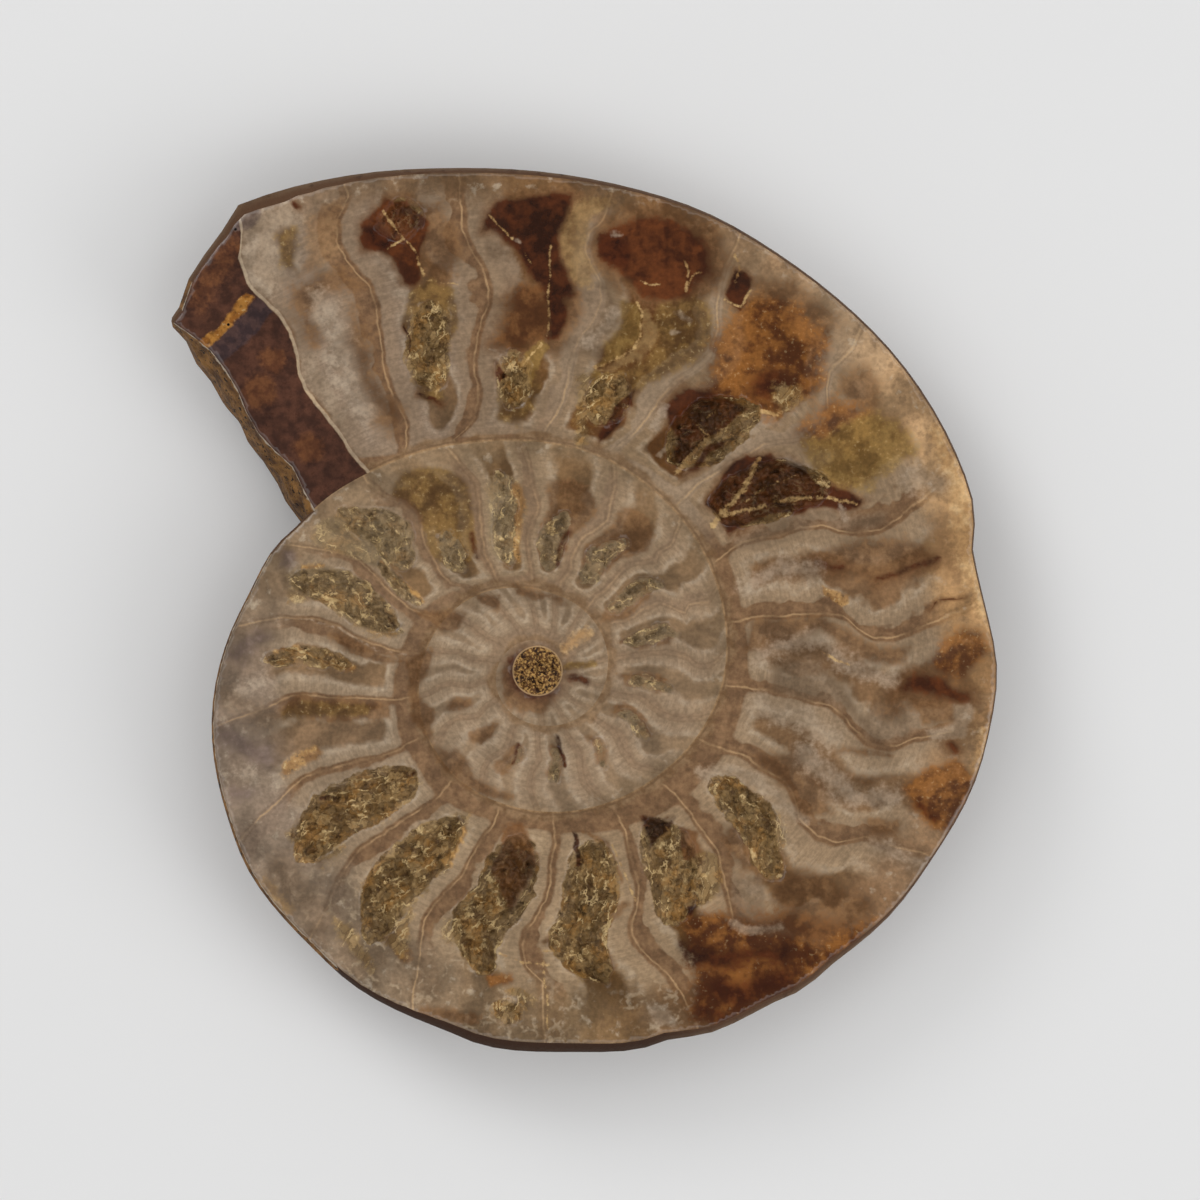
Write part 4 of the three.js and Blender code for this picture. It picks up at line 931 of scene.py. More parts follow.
def marks_inside(x, y, kind):
    """How deep points lie in the marks of one kind. The marks' edges waver."""
    u = x + COIL[0] - FRAME_CORNER[0]
    v = FRAME_CORNER[1] - y - COIL[1]
    reach = WAVER.get(kind, OTHER_WAVER)
    for i, (size, share) in enumerate(WAVER_SIZES):
        u = u + reach * share * lattice_noise(x, y, size, 11 + 2 * i)
        v = v + reach * share * lattice_noise(x, y, size, 12 + 2 * i)
    found = np.full(len(x), -MARK_LIMIT)
    for soft, points in AREAS.get(kind, []):
        found = np.maximum(found, mark_depth(u, v, points, None, soft))
    share = VEIN_SHARE if kind == "vein" else 1
    for soft, half_width, points in STROKES.get(kind, []):
        found = np.maximum(found, mark_depth(u, v, points, half_width * share, soft))
    return np.minimum(found, MARK_LIMIT)


def thin_out(points, fixed, gap):
    """The points that lie at least `gap` from all the fixed points."""
    tree = KDTree(len(fixed))
    for i, (x, y) in enumerate(fixed):
        tree.insert((x, y, 0), i)
    tree.balance()
    return np.array([p for p in points if tree.find((p[0], p[1], 0))[2] > gap])


def spiral_line():
    """Points along the wall between the turns."""
    angles = []
    angle = float(FIRST_ANGLE)
    while angle < BREAK_ANGLE - SPIRAL_STOP:
        angles.append(angle)
        angle += math.degrees(WALL_STEP / float(wall(angle)))
    turns = np.radians(angles)
    radius = wall(np.array(angles))
    return np.column_stack([radius * np.cos(turns), radius * np.sin(turns)])


def face_sheet(outline):
    """Triangles of the cut face: fine in the hollows and by the veins, with edges along the coil's wall."""
    spiral = spiral_line()
    coarse = hex_grid(COARSE)
    coarse = coarse[inside_outline(coarse, outline)]
    fine = hex_grid(FINE)
    fine = fine[np.hypot(fine[:, 0], fine[:, 1]) < FACE_REACH]
    veins = marks_inside(*fine.T, "vein")
    face = Face(*fine.T, turn_angle(*fine.T))
    wanted = (face.hollow()[0] > -HOLLOW_MARGIN) | (veins > -VEIN_MARGIN)
    fine = fine[wanted]
    fine = fine[inside_outline(fine, outline)]
    near_fine = Face(*coarse.T, turn_angle(*coarse.T)).hollow()[0] > -HOLLOW_MARGIN
    coarse = coarse[~near_fine]
    fixed = np.vstack([outline, spiral])
    coarse = thin_out(coarse, fixed, COARSE_GAP)
    fine = thin_out(fine, fixed, FINE_GAP)
    points = np.vstack([fixed, coarse, fine])
    count = len(outline)
    edges = [(i, (i + 1) % count) for i in range(count)]
    edges += [(count + i, count + i + 1) for i in range(len(spiral) - 1)]
    result = delaunay_2d_cdt([Vector(p) for p in points], edges, [list(range(count))], 1, 1e-6)
    return np.array([v[:] for v in result[0]]), result[2], result[3]


def sheet_depth(x, y):
    """Depth of the cut face's points under the polished level: nothing but in the hollows."""
    face = Face(x, y, turn_angle(x, y))
    into, deep = face.hollow()
    ragged = into + 0.22 * lattice_noise(x, y, 0.9, 1) + 0.12 * lattice_noise(x, y, 0.4, 2)
    fall = deep * (1 - np.exp(-np.maximum(ragged, 0) / HOLLOW_WALL))
    fall = fall + np.where(ragged > 0, 0.25 * fall * lattice_noise(x, y, 1.4, 3), 0)
    crystals = crystal_relief(x, y, fall) * smooth_step(0.0, 0.25, ragged)
    return np.where(ragged > 0, np.clip(fall - crystals, 0.02, 1.4 * deep), 0)


def build_mesh(node):
    """One closed mesh: the fine cut face joined to the side and back of the CAD solid."""
    mesh = refine_side(split_cad(node))
    loop = outline_loop(mesh)
    outline = np.array([v.co[:2] for v in loop]) / MM - COIL
    area = np.sum(outline[:, 0] * np.roll(outline[:, 1], -1) - np.roll(outline[:, 0], -1) * outline[:, 1])
    if area < 0:
        loop.reverse()
        outline = outline[::-1]
    points, faces, origins = face_sheet(outline)
    depth = sheet_depth(*points.T)
    verts = []
    for (x, y), down, sources in zip(points, depth, origins):
        on_outline = [i for i in sources if i < len(loop)]
        if on_outline:
            verts.append(loop[on_outline[0]])
        else:
            place = ((x + COIL[0]) * MM, (y + COIL[1]) * MM, (THICKNESS - down) * MM)
            verts.append(mesh.verts.new(place))
    for face in mesh.faces:
        face.material_index = SHELL
    for corners in faces:
        face = mesh.faces.new([verts[i] for i in corners])
        face.material_index = CUT_FACE
    bmesh.ops.recalc_face_normals(mesh, faces=mesh.faces)
    data = bpy.data.meshes.new("ammonite_stone")
    mesh.to_mesh(data)
    mesh.free()
    return data


def mark_break(data, centre, normal, kind):
    """Gives the broken end of the body chamber its own material."""
    along = BREAK_INNER - BREAK_OUTER
    outward = np.array([along[1], -along[0]]) / np.hypot(*along)
    stand = (centre[:, :2] - BREAK_OUTER) @ outward
    nearest, turn, side = BREAK_LIMITS
    broken = (stand > nearest) & (normal[:, :2] @ outward > turn) & (centre[:, 0] < side)
    kind[broken & (kind == SHELL)] = BROKEN
    data.polygons.foreach_set("material_index", kind)


def add_patterns(data):
    """Stores on each corner where it lies in the coil, and how deep it lies in each kind of mark."""
    count = len(data.polygons)
    corners = np.empty(count * 3, int)
    data.loops.foreach_get("vertex_index", corners)
    co = np.empty(len(data.vertices) * 3)
    data.vertices.foreach_get("co", co)
    co = co.reshape(-1, 3) / MM - [COIL[0], COIL[1], 0]
    corner = co[corners]
    centre = corner.reshape(-1, 3, 3).mean(axis=1)
    normal = np.empty(count * 3)
    data.polygons.foreach_get("normal", normal)
    kind = np.empty(count, np.int32)
    data.polygons.foreach_get("material_index", kind)
    mark_break(data, centre, normal.reshape(-1, 3), kind)
    middle = np.repeat(turn_angle(centre[:, 0], centre[:, 1]), 3)
    from_middle = np.degrees(np.arctan2(corner[:, 1], corner[:, 0])) - middle
    angle = middle + (from_middle + 180) % 360 - 180
    face = Face(corner[:, 0], corner[:, 1], angle)
    after = (face.place - np.floor(np.repeat(face.place.reshape(-1, 3).mean(axis=1), 3))) * face.pitch
    values = {
        "place": face.place,
        "after": after,
        "pitch": face.pitch,
        "along": face.height * face.tall,
        "to_outer": wall(angle) - face.radius,
        "from_cloud": wall(angle) - face.radius - outer_reach(angle),
        "from_bottom": face.radius - bottom(angle),
        "from_inner": face.radius - wall(angle - 360),
        "angle": angle,
        "depth": THICKNESS - corner[:, 2],
        "hollow": face.hollow()[0],
    }
    for name in TINTS:
        values[name] = np.maximum(marks_inside(*co[:, :2].T, name)[corners], face.kind(name) / PATCH_SOFT)
    for name, value in values.items():
        layer = data.attributes.new(name, "FLOAT", "CORNER")
        layer.data.foreach_set("value", value.astype(np.float32))


def linear(red, green, blue):
    """Blender's colour for one given as 0 to 255 in sRGB."""
    shares = [c / 255 for c in (red, green, blue)]
    return (*(s / 12.92 if s <= 0.04045 else ((s + 0.055) / 1.055) ** 2.4 for s in shares), 1.0)


class Graph:
    """Short calls that add shader nodes. A size is the width of a pattern's features in millimetres."""

    def __init__(self, name):
        self.material = bpy.data.materials.new(name)
        self.material.use_nodes = True
        self.nodes = self.material.node_tree.nodes
        self.links = self.material.node_tree.links
        self.nodes.clear()
        self.attributes = {}
        place = self.add("ShaderNodeTexCoord", {}, "Object")
        self.place = self.vector("SCALE", place, Scale=1 / MM)

    def add(self, kind, inputs, output=0, **settings):
        node = self.nodes.new(kind)
        for key, value in settings.items():
            setattr(node, key, value)
        for key, value in inputs.items():
            if isinstance(value, bpy.types.NodeSocket):
                self.links.new(value, node.inputs[key])
            else:
                node.inputs[key].default_value = value
        return node.outputs[output]

    def math(self, operation, a, b=0.0):
        return self.add("ShaderNodeMath", {0: a, 1: b}, operation=operation)

    def vector(self, operation, a, b=None, **inputs):
        given = {0: a, **inputs}
        if b is not None:
            given[1] = b
        return self.add("ShaderNodeVectorMath", given, operation=operation)

    def attribute(self, name):
        if name not in self.attributes:
            self.attributes[name] = self.add("ShaderNodeAttribute", {}, "Fac", attribute_name=name)
        return self.attributes[name]

    def combine(self, x, y, z):
        return self.add("ShaderNodeCombineXYZ", {0: x, 1: y, 2: z})

    def noise(self, size, detail=3.0, place=None, bend=0.0, rough=0.55):
        inputs = {"Vector": place or self.place, "Scale": 1 / size, "Detail": detail, "Roughness": rough}
        return self.add("ShaderNodeTexNoise", {**inputs, "Distortion": bend}, "Fac")

    def shake(self, size, reach, detail=2.0):
        """Noise that goes from about -reach to reach."""
        return self.math("MULTIPLY", self.math("SUBTRACT", self.noise(size, detail), 0.5), 3 * reach)

    def cells(self, size, output="Distance", feature="F1", place=None):
        inputs = {"Vector": place or self.place, "Scale": 1 / size}
        return self.add("ShaderNodeTexVoronoi", inputs, output, feature=feature)

    def step(self, low, high, value, start=0.0, end=1.0):
        inputs = {"Value": value, "From Min": low, "From Max": high, "To Min": start, "To Max": end}
        return self.add("ShaderNodeMapRange", inputs, interpolation_type="SMOOTHSTEP")

    def mix(self, share, a, b):
        return self.add("ShaderNodeMix", {0: share, 6: a, 7: b}, 2, data_type="RGBA")

    def paint(self, colour, share, *tone):
        """Lays a colour, given as 0 to 255, over another."""
        return self.mix(share, colour, linear(*tone))

    def between(self, value, start, full, fade, end):
        """1 from `full` to `fade`, and nothing outside `start` and `end`."""
        return self.math("MULTIPLY", self.step(start, full, value), self.step(end, fade, value))

    def vary(self, colour, low, high, value, dark, light):
        """Darkens a colour where a pattern is low and lightens it where it is high."""
        darker, lighter = self.brighten(colour, dark), self.brighten(colour, light)
        return self.mix(self.step(low, high, value), darker, lighter)

    def ramp(self, value, table):
        """Colours at places along a value: place, colour."""
        first, last = table[0][0], table[-1][0]
        share = self.math("DIVIDE", self.math("SUBTRACT", value, float(first)), float(last - first))
        node = self.nodes.new("ShaderNodeValToRGB")
        self.links.new(share, node.inputs[0])
        stops = node.color_ramp.elements
        for _ in table[2:]:
            stops.new(0.5)
        for stop, (place, colour) in zip(stops, table):
            stop.position = (place - first) / (last - first)
            stop.color = linear(*colour)
        return node.outputs[0]

    def brighten(self, colour, amount):
        """Multiplies a colour by a value that may be a socket."""
        return self.vector("SCALE", colour, Scale=amount)

    def finish(self, colour, roughness, bump=None, strength=0.4, distance=0.2, **settings):
        inputs = {"Base Color": colour, "Roughness": roughness, **settings}
        if bump:
            relief = {"Height": bump, "Strength": strength, "Distance": distance * MM}
            inputs["Normal"] = self.add("ShaderNodeBump", relief)
        surface = self.add("ShaderNodeBsdfPrincipled", inputs)
        output = self.nodes.new("ShaderNodeOutputMaterial")
        self.links.new(surface, output.inputs["Surface"])
        return self.material


def product(g, *shares):
    result = shares[0]
    for share in shares[1:]:
        result = g.math("MULTIPLY", result, share)
    return result


def layers(g):
    """Where a point lies between the walls of its chamber, and how far inside the layers that line it."""
    pitch = g.attribute("pitch")
    bend = g.math("ADD", g.shake(3.5, 0.3), g.shake(1.0, 0.1))
    after = g.math("ADD", g.attribute("after"), bend)
    before = g.math("SUBTRACT", pitch, after)
    wall_band = product(g, pitch, g.step(0.35, 0.65, g.noise(5.0), 0.06, 0.2))
    from_after = g.math("SUBTRACT", after, wall_band)
    from_before = g.math("SUBTRACT", before, product(g, pitch, 0.04))
    from_bottom = g.math("ADD", g.attribute("from_bottom"), bend)
    sides = g.add("ShaderNodeMath", {0: from_after, 1: from_before, 2: 0.5}, operation="SMOOTH_MIN")
    inside = g.add("ShaderNodeMath", {0: sides, 1: from_bottom, 2: 1.2}, operation="SMOOTH_MIN")
    nearest = g.math("MINIMUM", g.math("ABSOLUTE", after), g.math("ABSOLUTE", before))
    return pitch, after, inside, nearest


def fibres(g, after):
    """Streaks that run from wall to wall across a chamber."""
    number = g.math("FLOOR", g.attribute("place"))
    place = g.combine(g.math("MULTIPLY", after, 0.35), g.math("MULTIPLY", g.attribute("along"), 2.6), number)
    return g.noise(1.0, 4.0, place, rough=0.65)


def stone_colour(g, cloud, grain):
    """Colour of the cut face without its marks: brown bands by the walls, pale fibrous rims, dark middles,
    painted shade lines.
    """
    pitch, after, inside, nearest = layers(g)
    streaks = fibres(g, after)
    angle = g.attribute("angle")
    tall = g.step(4.0, 11.0, pitch)
    at_end = g.step(*LAST_CHAMBER, angle)
    clear = g.between(angle, *CLEAR_ZONE)
    rim = g.math("MAXIMUM", product(g, pitch, g.step(-150.0, 60.0, angle, 0.27, 0.17)), 0.3)
    rim = product(g, rim, g.step(0.0, 1.0, clear, 1.0, 0.55))
    rim = g.math("ADD", rim, product(g, g.step(0.5, 0.7, g.math("DIVIDE", after, pitch)), tall, pitch, 0.07))
    rim = g.math("ADD", rim, product(g, at_end, 1.6))
    wander = g.math("ADD", product(g, g.math("SUBTRACT", streaks, 0.5), 0.4), g.shake(2.2, 0.25))
    depth = g.math("ADD", g.math("DIVIDE", inside, rim), wander)
    middle = g.ramp(angle, MIDDLE_TONES)
    middle = g.vary(middle, 0.35, 0.65, cloud, 0.74, 1.18)
    pale = g.ramp(angle, RIM_TONES)
    pale = g.vary(pale, 0.3, 0.68, streaks, 0.87, 1.14)
    pale = g.paint(pale, g.step(0.9, 0.1, depth, 0.0, 0.4), 132, 108, 82)
    edge = product(g, g.between(depth, 0.55, 0.95, 1.0, 1.25), g.step(0.4, 0.6, grain), 0.3)
    filled = g.step(-100.0, 60.0, angle, 0.75, 1.0)
    colour = g.mix(product(g, g.step(0.9, 1.5, depth), filled), pale, middle)
    colour = g.paint(colour, edge, 190, 172, 148)
    bands = g.mix(g.step(0.35, 0.65, grain), linear(96, 66, 42), linear(130, 97, 67))
    pale_share = g.math("MAXIMUM", clear, g.step(200.0, 40.0, angle, 0.0, 0.6))
    bands = g.paint(bands, pale_share, 150, 128, 104)
    colour = g.mix(g.step(0.2, -0.12, inside, 0.0, 0.8), colour, bands)
    near_outer = g.math("ADD", g.attribute("from_cloud"), g.shake(3.0, 1.6, 4.0))
    crust = g.ramp(angle, OUTER_TONES)
    crust = g.vary(crust, 0.36, 0.64, cloud, 0.8, 1.2)
    crust = g.paint(crust, g.step(0.56, 0.72, grain, 0.0, 0.5), 196, 180, 156)
    bent = g.vector("ADD", g.place, g.vector("SCALE", g.combine(grain, cloud, 0.0), Scale=2.5))
    cracks = g.step(0.14, 0.03, g.cells(1.7, feature="DISTANCE_TO_EDGE", place=bent))
    frost = product(g, cracks, g.step(0.5, 0.62, g.noise(1.8)), g.between(angle, *FROST_ZONE))
    shadow = product(g, g.step(0.46, 0.38, grain), g.step(205.0, 225.0, angle), 0.3)
    crust = g.paint(crust, shadow, 92, 72, 54)
    crust = g.paint(crust, product(g, frost, 0.5), 178, 158, 130)
    colour = g.mix(g.step(1.5, -1.8, near_outer, 0.0, 0.85), colour, crust)
    grown = product(g, g.step(-60.0, 60.0, angle), g.step(100.0, 220.0, angle, 0.5, 1.0))
    line_share = product(g, g.step(0.14, 0.04, nearest), g.step(0.36, 0.6, cloud, 0.05, 0.5), grown)
    colour = g.paint(colour, line_share, 188, 154, 112)
    # Painted shade: a thin dark line a little way off each wall line, standing in for a shadow beside it.
    shade = g.math("ABSOLUTE", g.math("SUBTRACT", nearest, 0.26))
    colour = g.paint(colour, product(g, g.step(0.13, 0.03, shade), 0.16), 92, 66, 42)
    return colour


def druse_colour(g, grain):
    """Small crystals with painted shade in the gaps between them, and the share of the pale flecks painted as
    glints among them.
    """
    number = g.math("MULTIPLY", g.math("FLOOR", g.attribute("place")), 7.0)
    along = g.math("MULTIPLY", g.attribute("along"), 0.55)
    place = g.combine(g.attribute("after"), along, number)
    bent = g.vector("ADD", place, g.vector("SCALE", g.combine(grain, g.noise(0.7), 0.0), Scale=1.5))
    gap = g.cells(0.8, feature="DISTANCE_TO_EDGE", place=bent)
    tint = g.add("ShaderNodeSeparateColor", {0: g.cells(0.8, "Color", place=bent)})
    colour = g.mix(tint, linear(104, 80, 48), linear(154, 126, 84))
    colour = g.paint(colour, g.step(0.48, 0.66, g.noise(2.0, 3.0), 0.0, 0.7), 152, 110, 56)
    # Painted shade in the gaps between the crystals.
    colour = g.paint(colour, g.step(0.1, 0.01, gap, 0.0, 0.5), 60, 38, 20)
    colour = g.paint(colour, g.step(0.45, 0.35, grain, 0.0, 0.7), 62, 40, 20)
    colour = g.paint(colour, g.step(200.0, 120.0, g.attribute("angle"), 0.0, 0.5), 142, 126, 100)
    # Painted highlights: pale flecks that stand in for glints on the crystals.
    glint_share = product(g, g.step(0.07, 0.02, g.cells(1.2, feature="DISTANCE_TO_EDGE", place=bent)),
                     g.step(0.48, 0.6, g.noise(1.6, 3.0)), 0.7)
    return colour, glint_share


def add_marks(g, colour, names, cloud, grain, fine):
    """Lays the marks of these kinds over a colour."""
    ragged = g.math("SUBTRACT", g.math("ADD", grain, fine), 1.0)
    for name in names:
        low, high, strength, speck_and_glint_strength = TINTS[name]
        frayed = product(g, ragged, 5.0 if name == "vein" else 2.2)
        share = g.step(-1.0, 1.0, g.math("ADD", g.attribute(name), frayed))
        tint = g.mix(g.step(0.85, 1.15, g.math("ADD", grain, cloud)), linear(*low), linear(*high))
        if speck_and_glint_strength:
            # Painted highlights: pale flecks standing in for glints; the dark specks under them are the
            # stone's own.
            tint = g.paint(tint, g.step(0.6, 0.7, fine, 0.0, speck_and_glint_strength), 206, 184, 134)
            tint = g.paint(tint, g.step(0.42, 0.34, fine, 0.0, speck_and_glint_strength), 74, 48, 24)
        colour = g.mix(product(g, share, strength), colour, tint)
    return colour


def cut_face_material():
    g = Graph("polished_fossil")
    cloud = g.noise(4.5, 3.0, bend=0.4)
    grain = g.noise(1.3, 4.0)
    fine = g.noise(0.45, 3.0)
    colour = stone_colour(g, cloud, grain)
    colour = whorl_wall(g, colour, grain)
    window = g.math("MAXIMUM", g.attribute("red"), g.attribute("rust"))
    window = g.math("MAXIMUM", g.attribute("dark"), window)
    halo = g.step(-MARK_LIMIT, 0.5, g.math("ADD", window, g.shake(1.5, 1.0)), 0.0, 0.75)
    halo = product(g, halo, g.step(*UPPER_TURN, g.attribute("angle")))
    colour = g.paint(colour, halo, 100, 66, 38)
    colour = add_marks(g, colour, BROAD_MARKS, cloud, grain, fine)
    crystals, glint_share = druse_colour(g, grain)
    # Painted highlights: pale glints laid over the crystals, on the flat face and in the hollows.
    glint_colour = linear(204, 176, 126)
    crystals = g.mix(glint_share, crystals, glint_colour)
    ragged = g.math("SUBTRACT", g.math("ADD", grain, fine), 1.0)
    share = g.step(-1.0, 1.0, g.math("ADD", g.attribute("druse"), product(g, ragged, 3.0)))
    colour = g.mix(product(g, share, 0.8), colour, crystals)
    colour = add_marks(g, colour, FINE_MARKS, cloud, grain, fine)
    colour = body_chamber(g, colour, grain, fine)
    depth = g.attribute("depth")
    open_share = g.step(0.03, 0.2, depth)
    crystal_share = product(g, open_share, g.step(-0.5, 1.0, window, 0.85, 0.1))
    colour = g.mix(crystal_share, colour, crystals)
    # Painted glints on the crystals in the hollows.
    colour = g.mix(product(g, crystal_share, glint_share), colour, glint_colour)
    # Painted shade: the hollows grow darker with their depth.
    colour = g.paint(colour, g.step(0.6, 2.2, depth, 0.0, 0.25), 66, 44, 22)
    colour = coil_core(g, colour)
    colour = g.brighten(colour, g.step(0.32, 0.68, cloud, 0.88, 1.12))
    colour = g.brighten(colour, g.step(0.3, 0.7, fine, 0.86, 1.14))
    roughness = g.step(0.0, 0.2, depth, 0.18, 0.45)
    shine = g.step(-0.4, -0.1, g.attribute("hollow"), 0.5, 0.12)
    relief = g.math("ADD", fine, product(g, g.cells(0.4), open_share))
    strength = g.step(0.0, 0.3, depth, 0.03, 0.5)
    return g.finish(colour, roughness, relief, strength, 0.15, **{"Specular IOR Level": shine})


def whorl_wall(g, colour, grain):
    """The shell wall between the turns and round the outside: a thin tan line with brown layers by it, and a
    painted shade line beside it.
    """
    bend = g.shake(1.5, 0.08)
    outer = g.math("ADD", g.attribute("to_outer"), bend)
    inner = g.math("ADD", g.attribute("from_inner"), bend)
    base = g.mix(g.step(0.35, 0.65, grain), linear(112, 84, 56), linear(142, 114, 84))
    layer = g.math("ADD", inner, g.shake(3.0, 0.9, 3.0))
    thick = g.step(-300.0, 100.0, g.attribute("angle"), 0.3, 0.8)
    beside = g.step(0.3, -0.3, g.math("SUBTRACT", layer, thick))
    beside = product(g, beside, g.step(-420.0, -300.0, g.attribute("angle"), 0.15, 0.8))
    colour = g.mix(beside, colour, base)
    near = g.math("MINIMUM", outer, inner)
    some = product(g, g.step(0.4, 0.6, grain, 0.1, 0.5), g.step(-200.0, 250.0, g.attribute("angle")))
    colour = g.paint(colour, product(g, g.step(0.18, 0.05, near), some), 170, 136, 96)
    # Painted shade: a thin dark line just off the inner wall, standing in for a shadow.
    shade = g.math("ABSOLUTE", g.math("SUBTRACT", inner, 0.28))
    return g.paint(colour, product(g, g.step(0.16, 0.03, shade), some, 0.8), 84, 60, 40)


def body_chamber(g, colour, grain, fine):
    """The dark stone that filled the open end of the shell, with its streaks and blotches."""
    past = product(g, g.math("SUBTRACT", g.attribute("place"), float(BODY_CHAMBER)), g.attribute("pitch"))
    past = g.math("ADD", past, g.shake(1.2, 0.06))
    stone = g.mix(g.step(0.35, 0.65, grain), linear(60, 37, 28), linear(86, 54, 40))
    stone = g.paint(stone, g.step(0.56, 0.7, fine, 0.0, 0.5), 52, 28, 18)
    stone = add_marks(g, stone, BODY_MARKS, grain, grain, fine)
    stone = g.paint(stone, g.step(0.075, 0.05, g.cells(3.0)), 18, 10, 8)
    colour = g.mix(g.step(-0.05, 0.05, past), colour, stone)
    line = g.math("ABSOLUTE", g.math("ADD", past, 0.1))
    return g.paint(colour, product(g, g.step(0.14, 0.05, line), 0.5), 196, 176, 148)


def coil_core(g, colour):
    """The first chamber, filled with gold-speckled stone, with a dark halo."""
    from_middle = g.vector("SUBTRACT", g.place, (COIL[0], COIL[1], THICKNESS))
    radius = g.add("ShaderNodeVectorMath", {0: from_middle}, "Value", operation="LENGTH")
    ragged = g.math("ADD", radius, g.shake(1.2, 0.2))
    gold = g.mix(g.step(0.42, 0.62, g.noise(0.3, 3.0)), linear(84, 54, 28), linear(172, 134, 78))
    gold = g.paint(gold, g.step(0.52, 0.6, g.noise(0.55, 3.0)), 46, 28, 16)
    inputs = {0: from_middle, 1: (-0.7, -0.7, 0.0)}
    side = g.add("ShaderNodeVectorMath", inputs, "Value", operation="DOT_PRODUCT")
    low_left = g.step(-1.5, 1.5, side, 0.25, 1.0)
    halo = product(g, g.step(4.0, 2.7, ragged, 0.0, 0.7), low_left)
    colour = g.paint(colour, halo, 84, 54, 36)
    near = product(g, g.step(3.1, 2.5, g.math("ADD", ragged, g.shake(1.0, 0.5)), 0.0, 0.8), low_left)
    colour = g.paint(colour, near, 64, 34, 22)
    colour = g.paint(colour, g.step(2.56, 2.48, radius, 0.0, 0.8), 168, 136, 96)
    return g.mix(g.step(2.42, 2.34, radius), colour, gold)


def shell_material():
    """The weathered outside of the shell: brown with growth lines."""
    g = Graph("shell_outside")
    angle = g.attribute("angle")
    lines = g.noise(1.0, 3.0, g.combine(g.math("MULTIPLY", angle, 0.9), 0.0, 0.0))
    colour = g.mix(g.noise(6.0, 5.0), linear(92, 68, 48), linear(142, 116, 88))
    colour = g.paint(colour, product(g, lines, 0.5), 74, 52, 36)
    colour = g.paint(colour, g.step(0.58, 0.68, g.noise(1.2, 5.0)), 60, 44, 32)
    depth = g.math("ADD", g.attribute("depth"), g.shake(1.0, 0.15))
    colour = g.paint(colour, g.step(1.2, 0.3, depth, 0.0, 0.85), 82, 54, 34)
    dark = product(g, g.between(angle, *DARK_SHELL_ZONE), g.step(3.5, 1.0, depth), 0.85)
    colour = g.paint(colour, dark, 48, 28, 17)
    relief = g.math("ADD", g.noise(0.7, 5.0), product(g, lines, 0.8))
    return g.finish(colour, DULL, relief, strength=0.6, distance=0.3, **{"Specular IOR Level": 0.2})


def broken_material():
    """The rough broken end of the body chamber: ochre-brown stone with black specks."""
    g = Graph("broken_stone")
    colour = g.mix(g.step(0.3, 0.7, g.noise(1.2, 5.0)), linear(70, 44, 22), linear(146, 104, 54))
    colour = g.paint(colour, g.step(0.56, 0.64, g.noise(0.6, 4.0)), 26, 16, 10)
    depth = g.math("ADD", g.attribute("depth"), g.shake(1.0, 0.3))
    colour = g.paint(colour, g.step(0.25, 0.08, depth), 168, 154, 136)
    colour = g.paint(colour, g.step(6.0, 10.0, depth, 0.0, 0.7), 52, 34, 20)
    return g.finish(colour, DULL, g.noise(0.5, 5.0), 0.8, 0.4, **{"Specular IOR Level": 0.2})


def make_fossil(frame):
    node = frame["nodes"]["ammonite_half"]
    data = build_mesh(node)
    add_patterns(data)
    for material in (cut_face_material(), shell_material(), broken_material()):
        data.materials.append(material)
    kind = np.empty(len(data.polygons), np.int32)
    data.polygons.foreach_get("material_index", kind)
    data.polygons.foreach_set("use_smooth", kind == SHELL)
    data.set_sharp_from_angle(angle=math.radians(SHARP_EDGE))
    fossil = bpy.data.objects.new("ammonite_stone", data)
    bpy.context.collection.objects.link(fossil)
    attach(fossil, "root")
    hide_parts("ammonite_half")
    return fossil


def make_floor():
    mesh = bpy.data.meshes.new("floor")
    corners = [(x * FLOOR_REACH, y * FLOOR_REACH, 0) for x, y in ((-1, -1), (1, -1), (1, 1), (-1, 1))]
    mesh.from_pydata(corners, [], [(0, 1, 2, 3)])
    floor = bpy.data.objects.new("floor", mesh)
    bpy.context.collection.objects.link(floor)
    g = Graph("pale_floor")
    mesh.materials.append(g.finish(linear(228, 228, 228), 0.9))


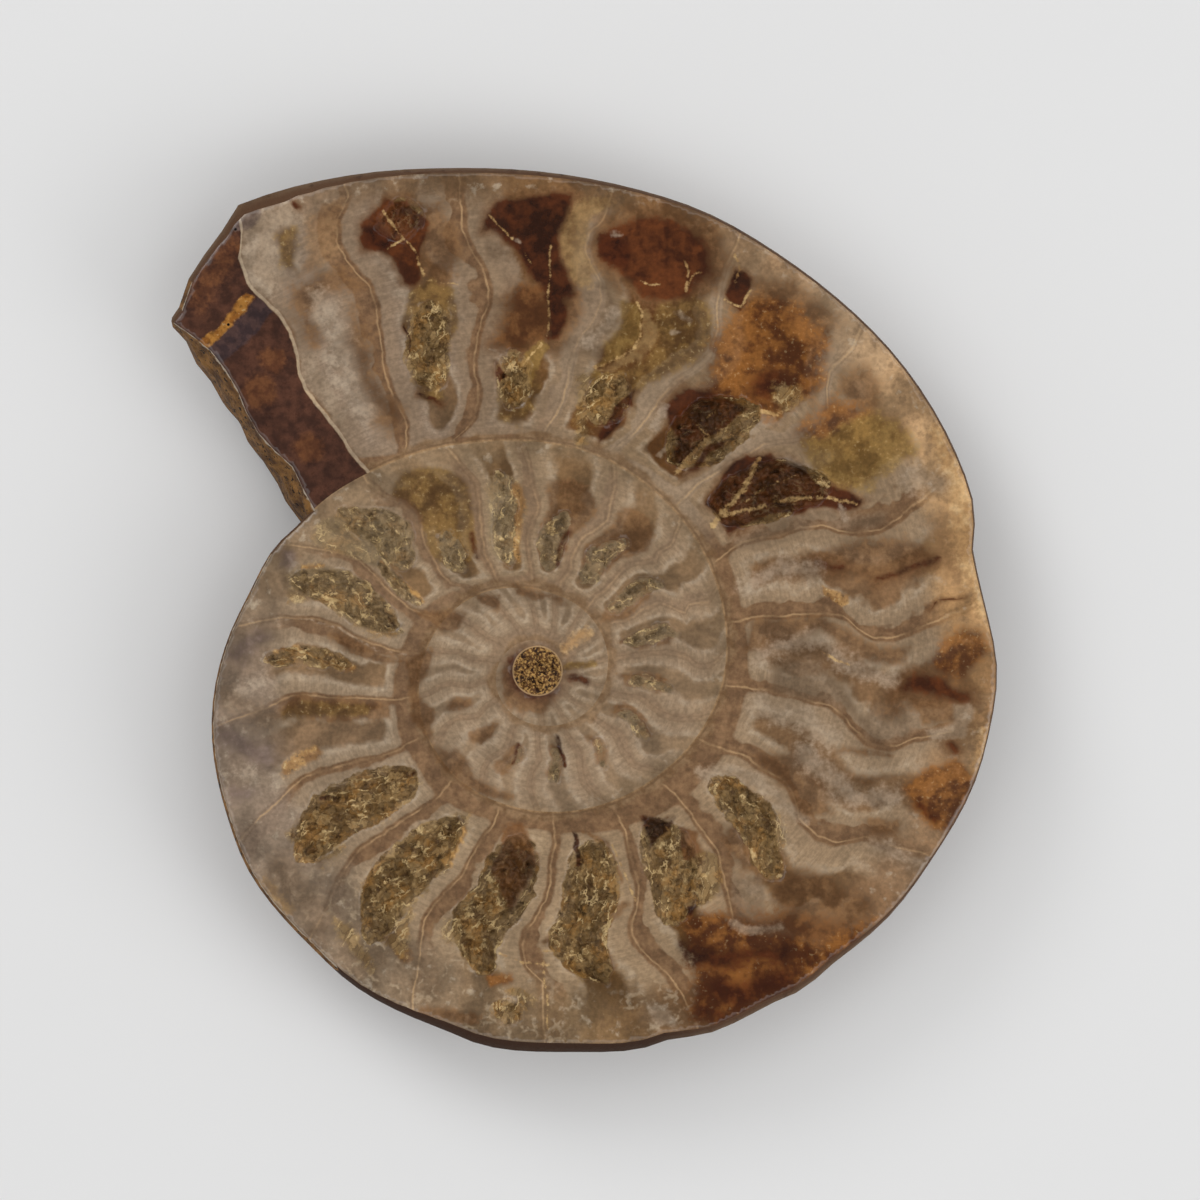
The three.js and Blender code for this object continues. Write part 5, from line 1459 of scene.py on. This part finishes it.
def area_light(name, place, size, power):
    light = bpy.data.lights.new(name, "AREA")
    light.shape = "DISK"
    light.size = size
    light.energy = power
    thing = bpy.data.objects.new(name, light)
    thing.location = place
    thing.rotation_euler = (-Vector(place)).to_track_quat("-Z", "Y").to_euler()
    bpy.context.collection.objects.link(thing)


def make_light():
    """A bright ring high in the sky, and a dark patch overhead for the polished face to mirror."""
    world = bpy.data.worlds.new("studio")
    bpy.context.scene.world = world
    world.use_nodes = True
    tree = world.node_tree
    tree.nodes.clear()
    coordinate = tree.nodes.new("ShaderNodeTexCoord")
    parts = tree.nodes.new("ShaderNodeSeparateXYZ")
    tree.links.new(coordinate.outputs["Generated"], parts.inputs[0])
    levels = []
    for low, high, start, end in ((*RING_EDGE, SKY_LOW, SKY_RING), (*PATCH_EDGE, SKY_RING, SKY_TOP)):
        level = tree.nodes.new("ShaderNodeMapRange")
        level.interpolation_type = "SMOOTHSTEP"
        for name, value in (("From Min", low), ("From Max", high), ("To Min", start), ("To Max", end)):
            level.inputs[name].default_value = value
        tree.links.new(parts.outputs["Z"], level.inputs["Value"])
        levels.append(level.outputs[0])
    fall = tree.nodes.new("ShaderNodeMath")
    fall.operation = "MINIMUM"
    for i, level in enumerate(levels):
        tree.links.new(level, fall.inputs[i])
    background = tree.nodes.new("ShaderNodeBackground")
    tree.links.new(fall.outputs[0], background.inputs["Strength"])
    output = tree.nodes.new("ShaderNodeOutputWorld")
    tree.links.new(background.outputs[0], output.inputs[0])
    area_light("key", (-0.55, 0.65, 0.75), 0.5, KEY_POWER)
    area_light("fill", (0.7, -0.3, 0.6), 0.6, FILL_POWER)
    bpy.context.scene.view_settings.view_transform = "Standard"


def make_camera():
    """Straight above the cut face, with a long lens."""
    camera = bpy.data.cameras.new("camera")
    camera.sensor_fit = "HORIZONTAL"
    camera.lens = camera.sensor_width * CAMERA_DISTANCE / FRAME_WIDTH
    camera.clip_start = 0.01
    thing = bpy.data.objects.new("camera", camera)
    thing.location = (CAMERA_PLACE[0] * MM, CAMERA_PLACE[1] * MM, (THICKNESS + CAMERA_DISTANCE) * MM)
    bpy.context.collection.objects.link(thing)
    bpy.context.scene.camera = thing


def main():
    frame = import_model()
    make_camera()
    make_fossil(frame)
    make_floor()
    make_light()


main()
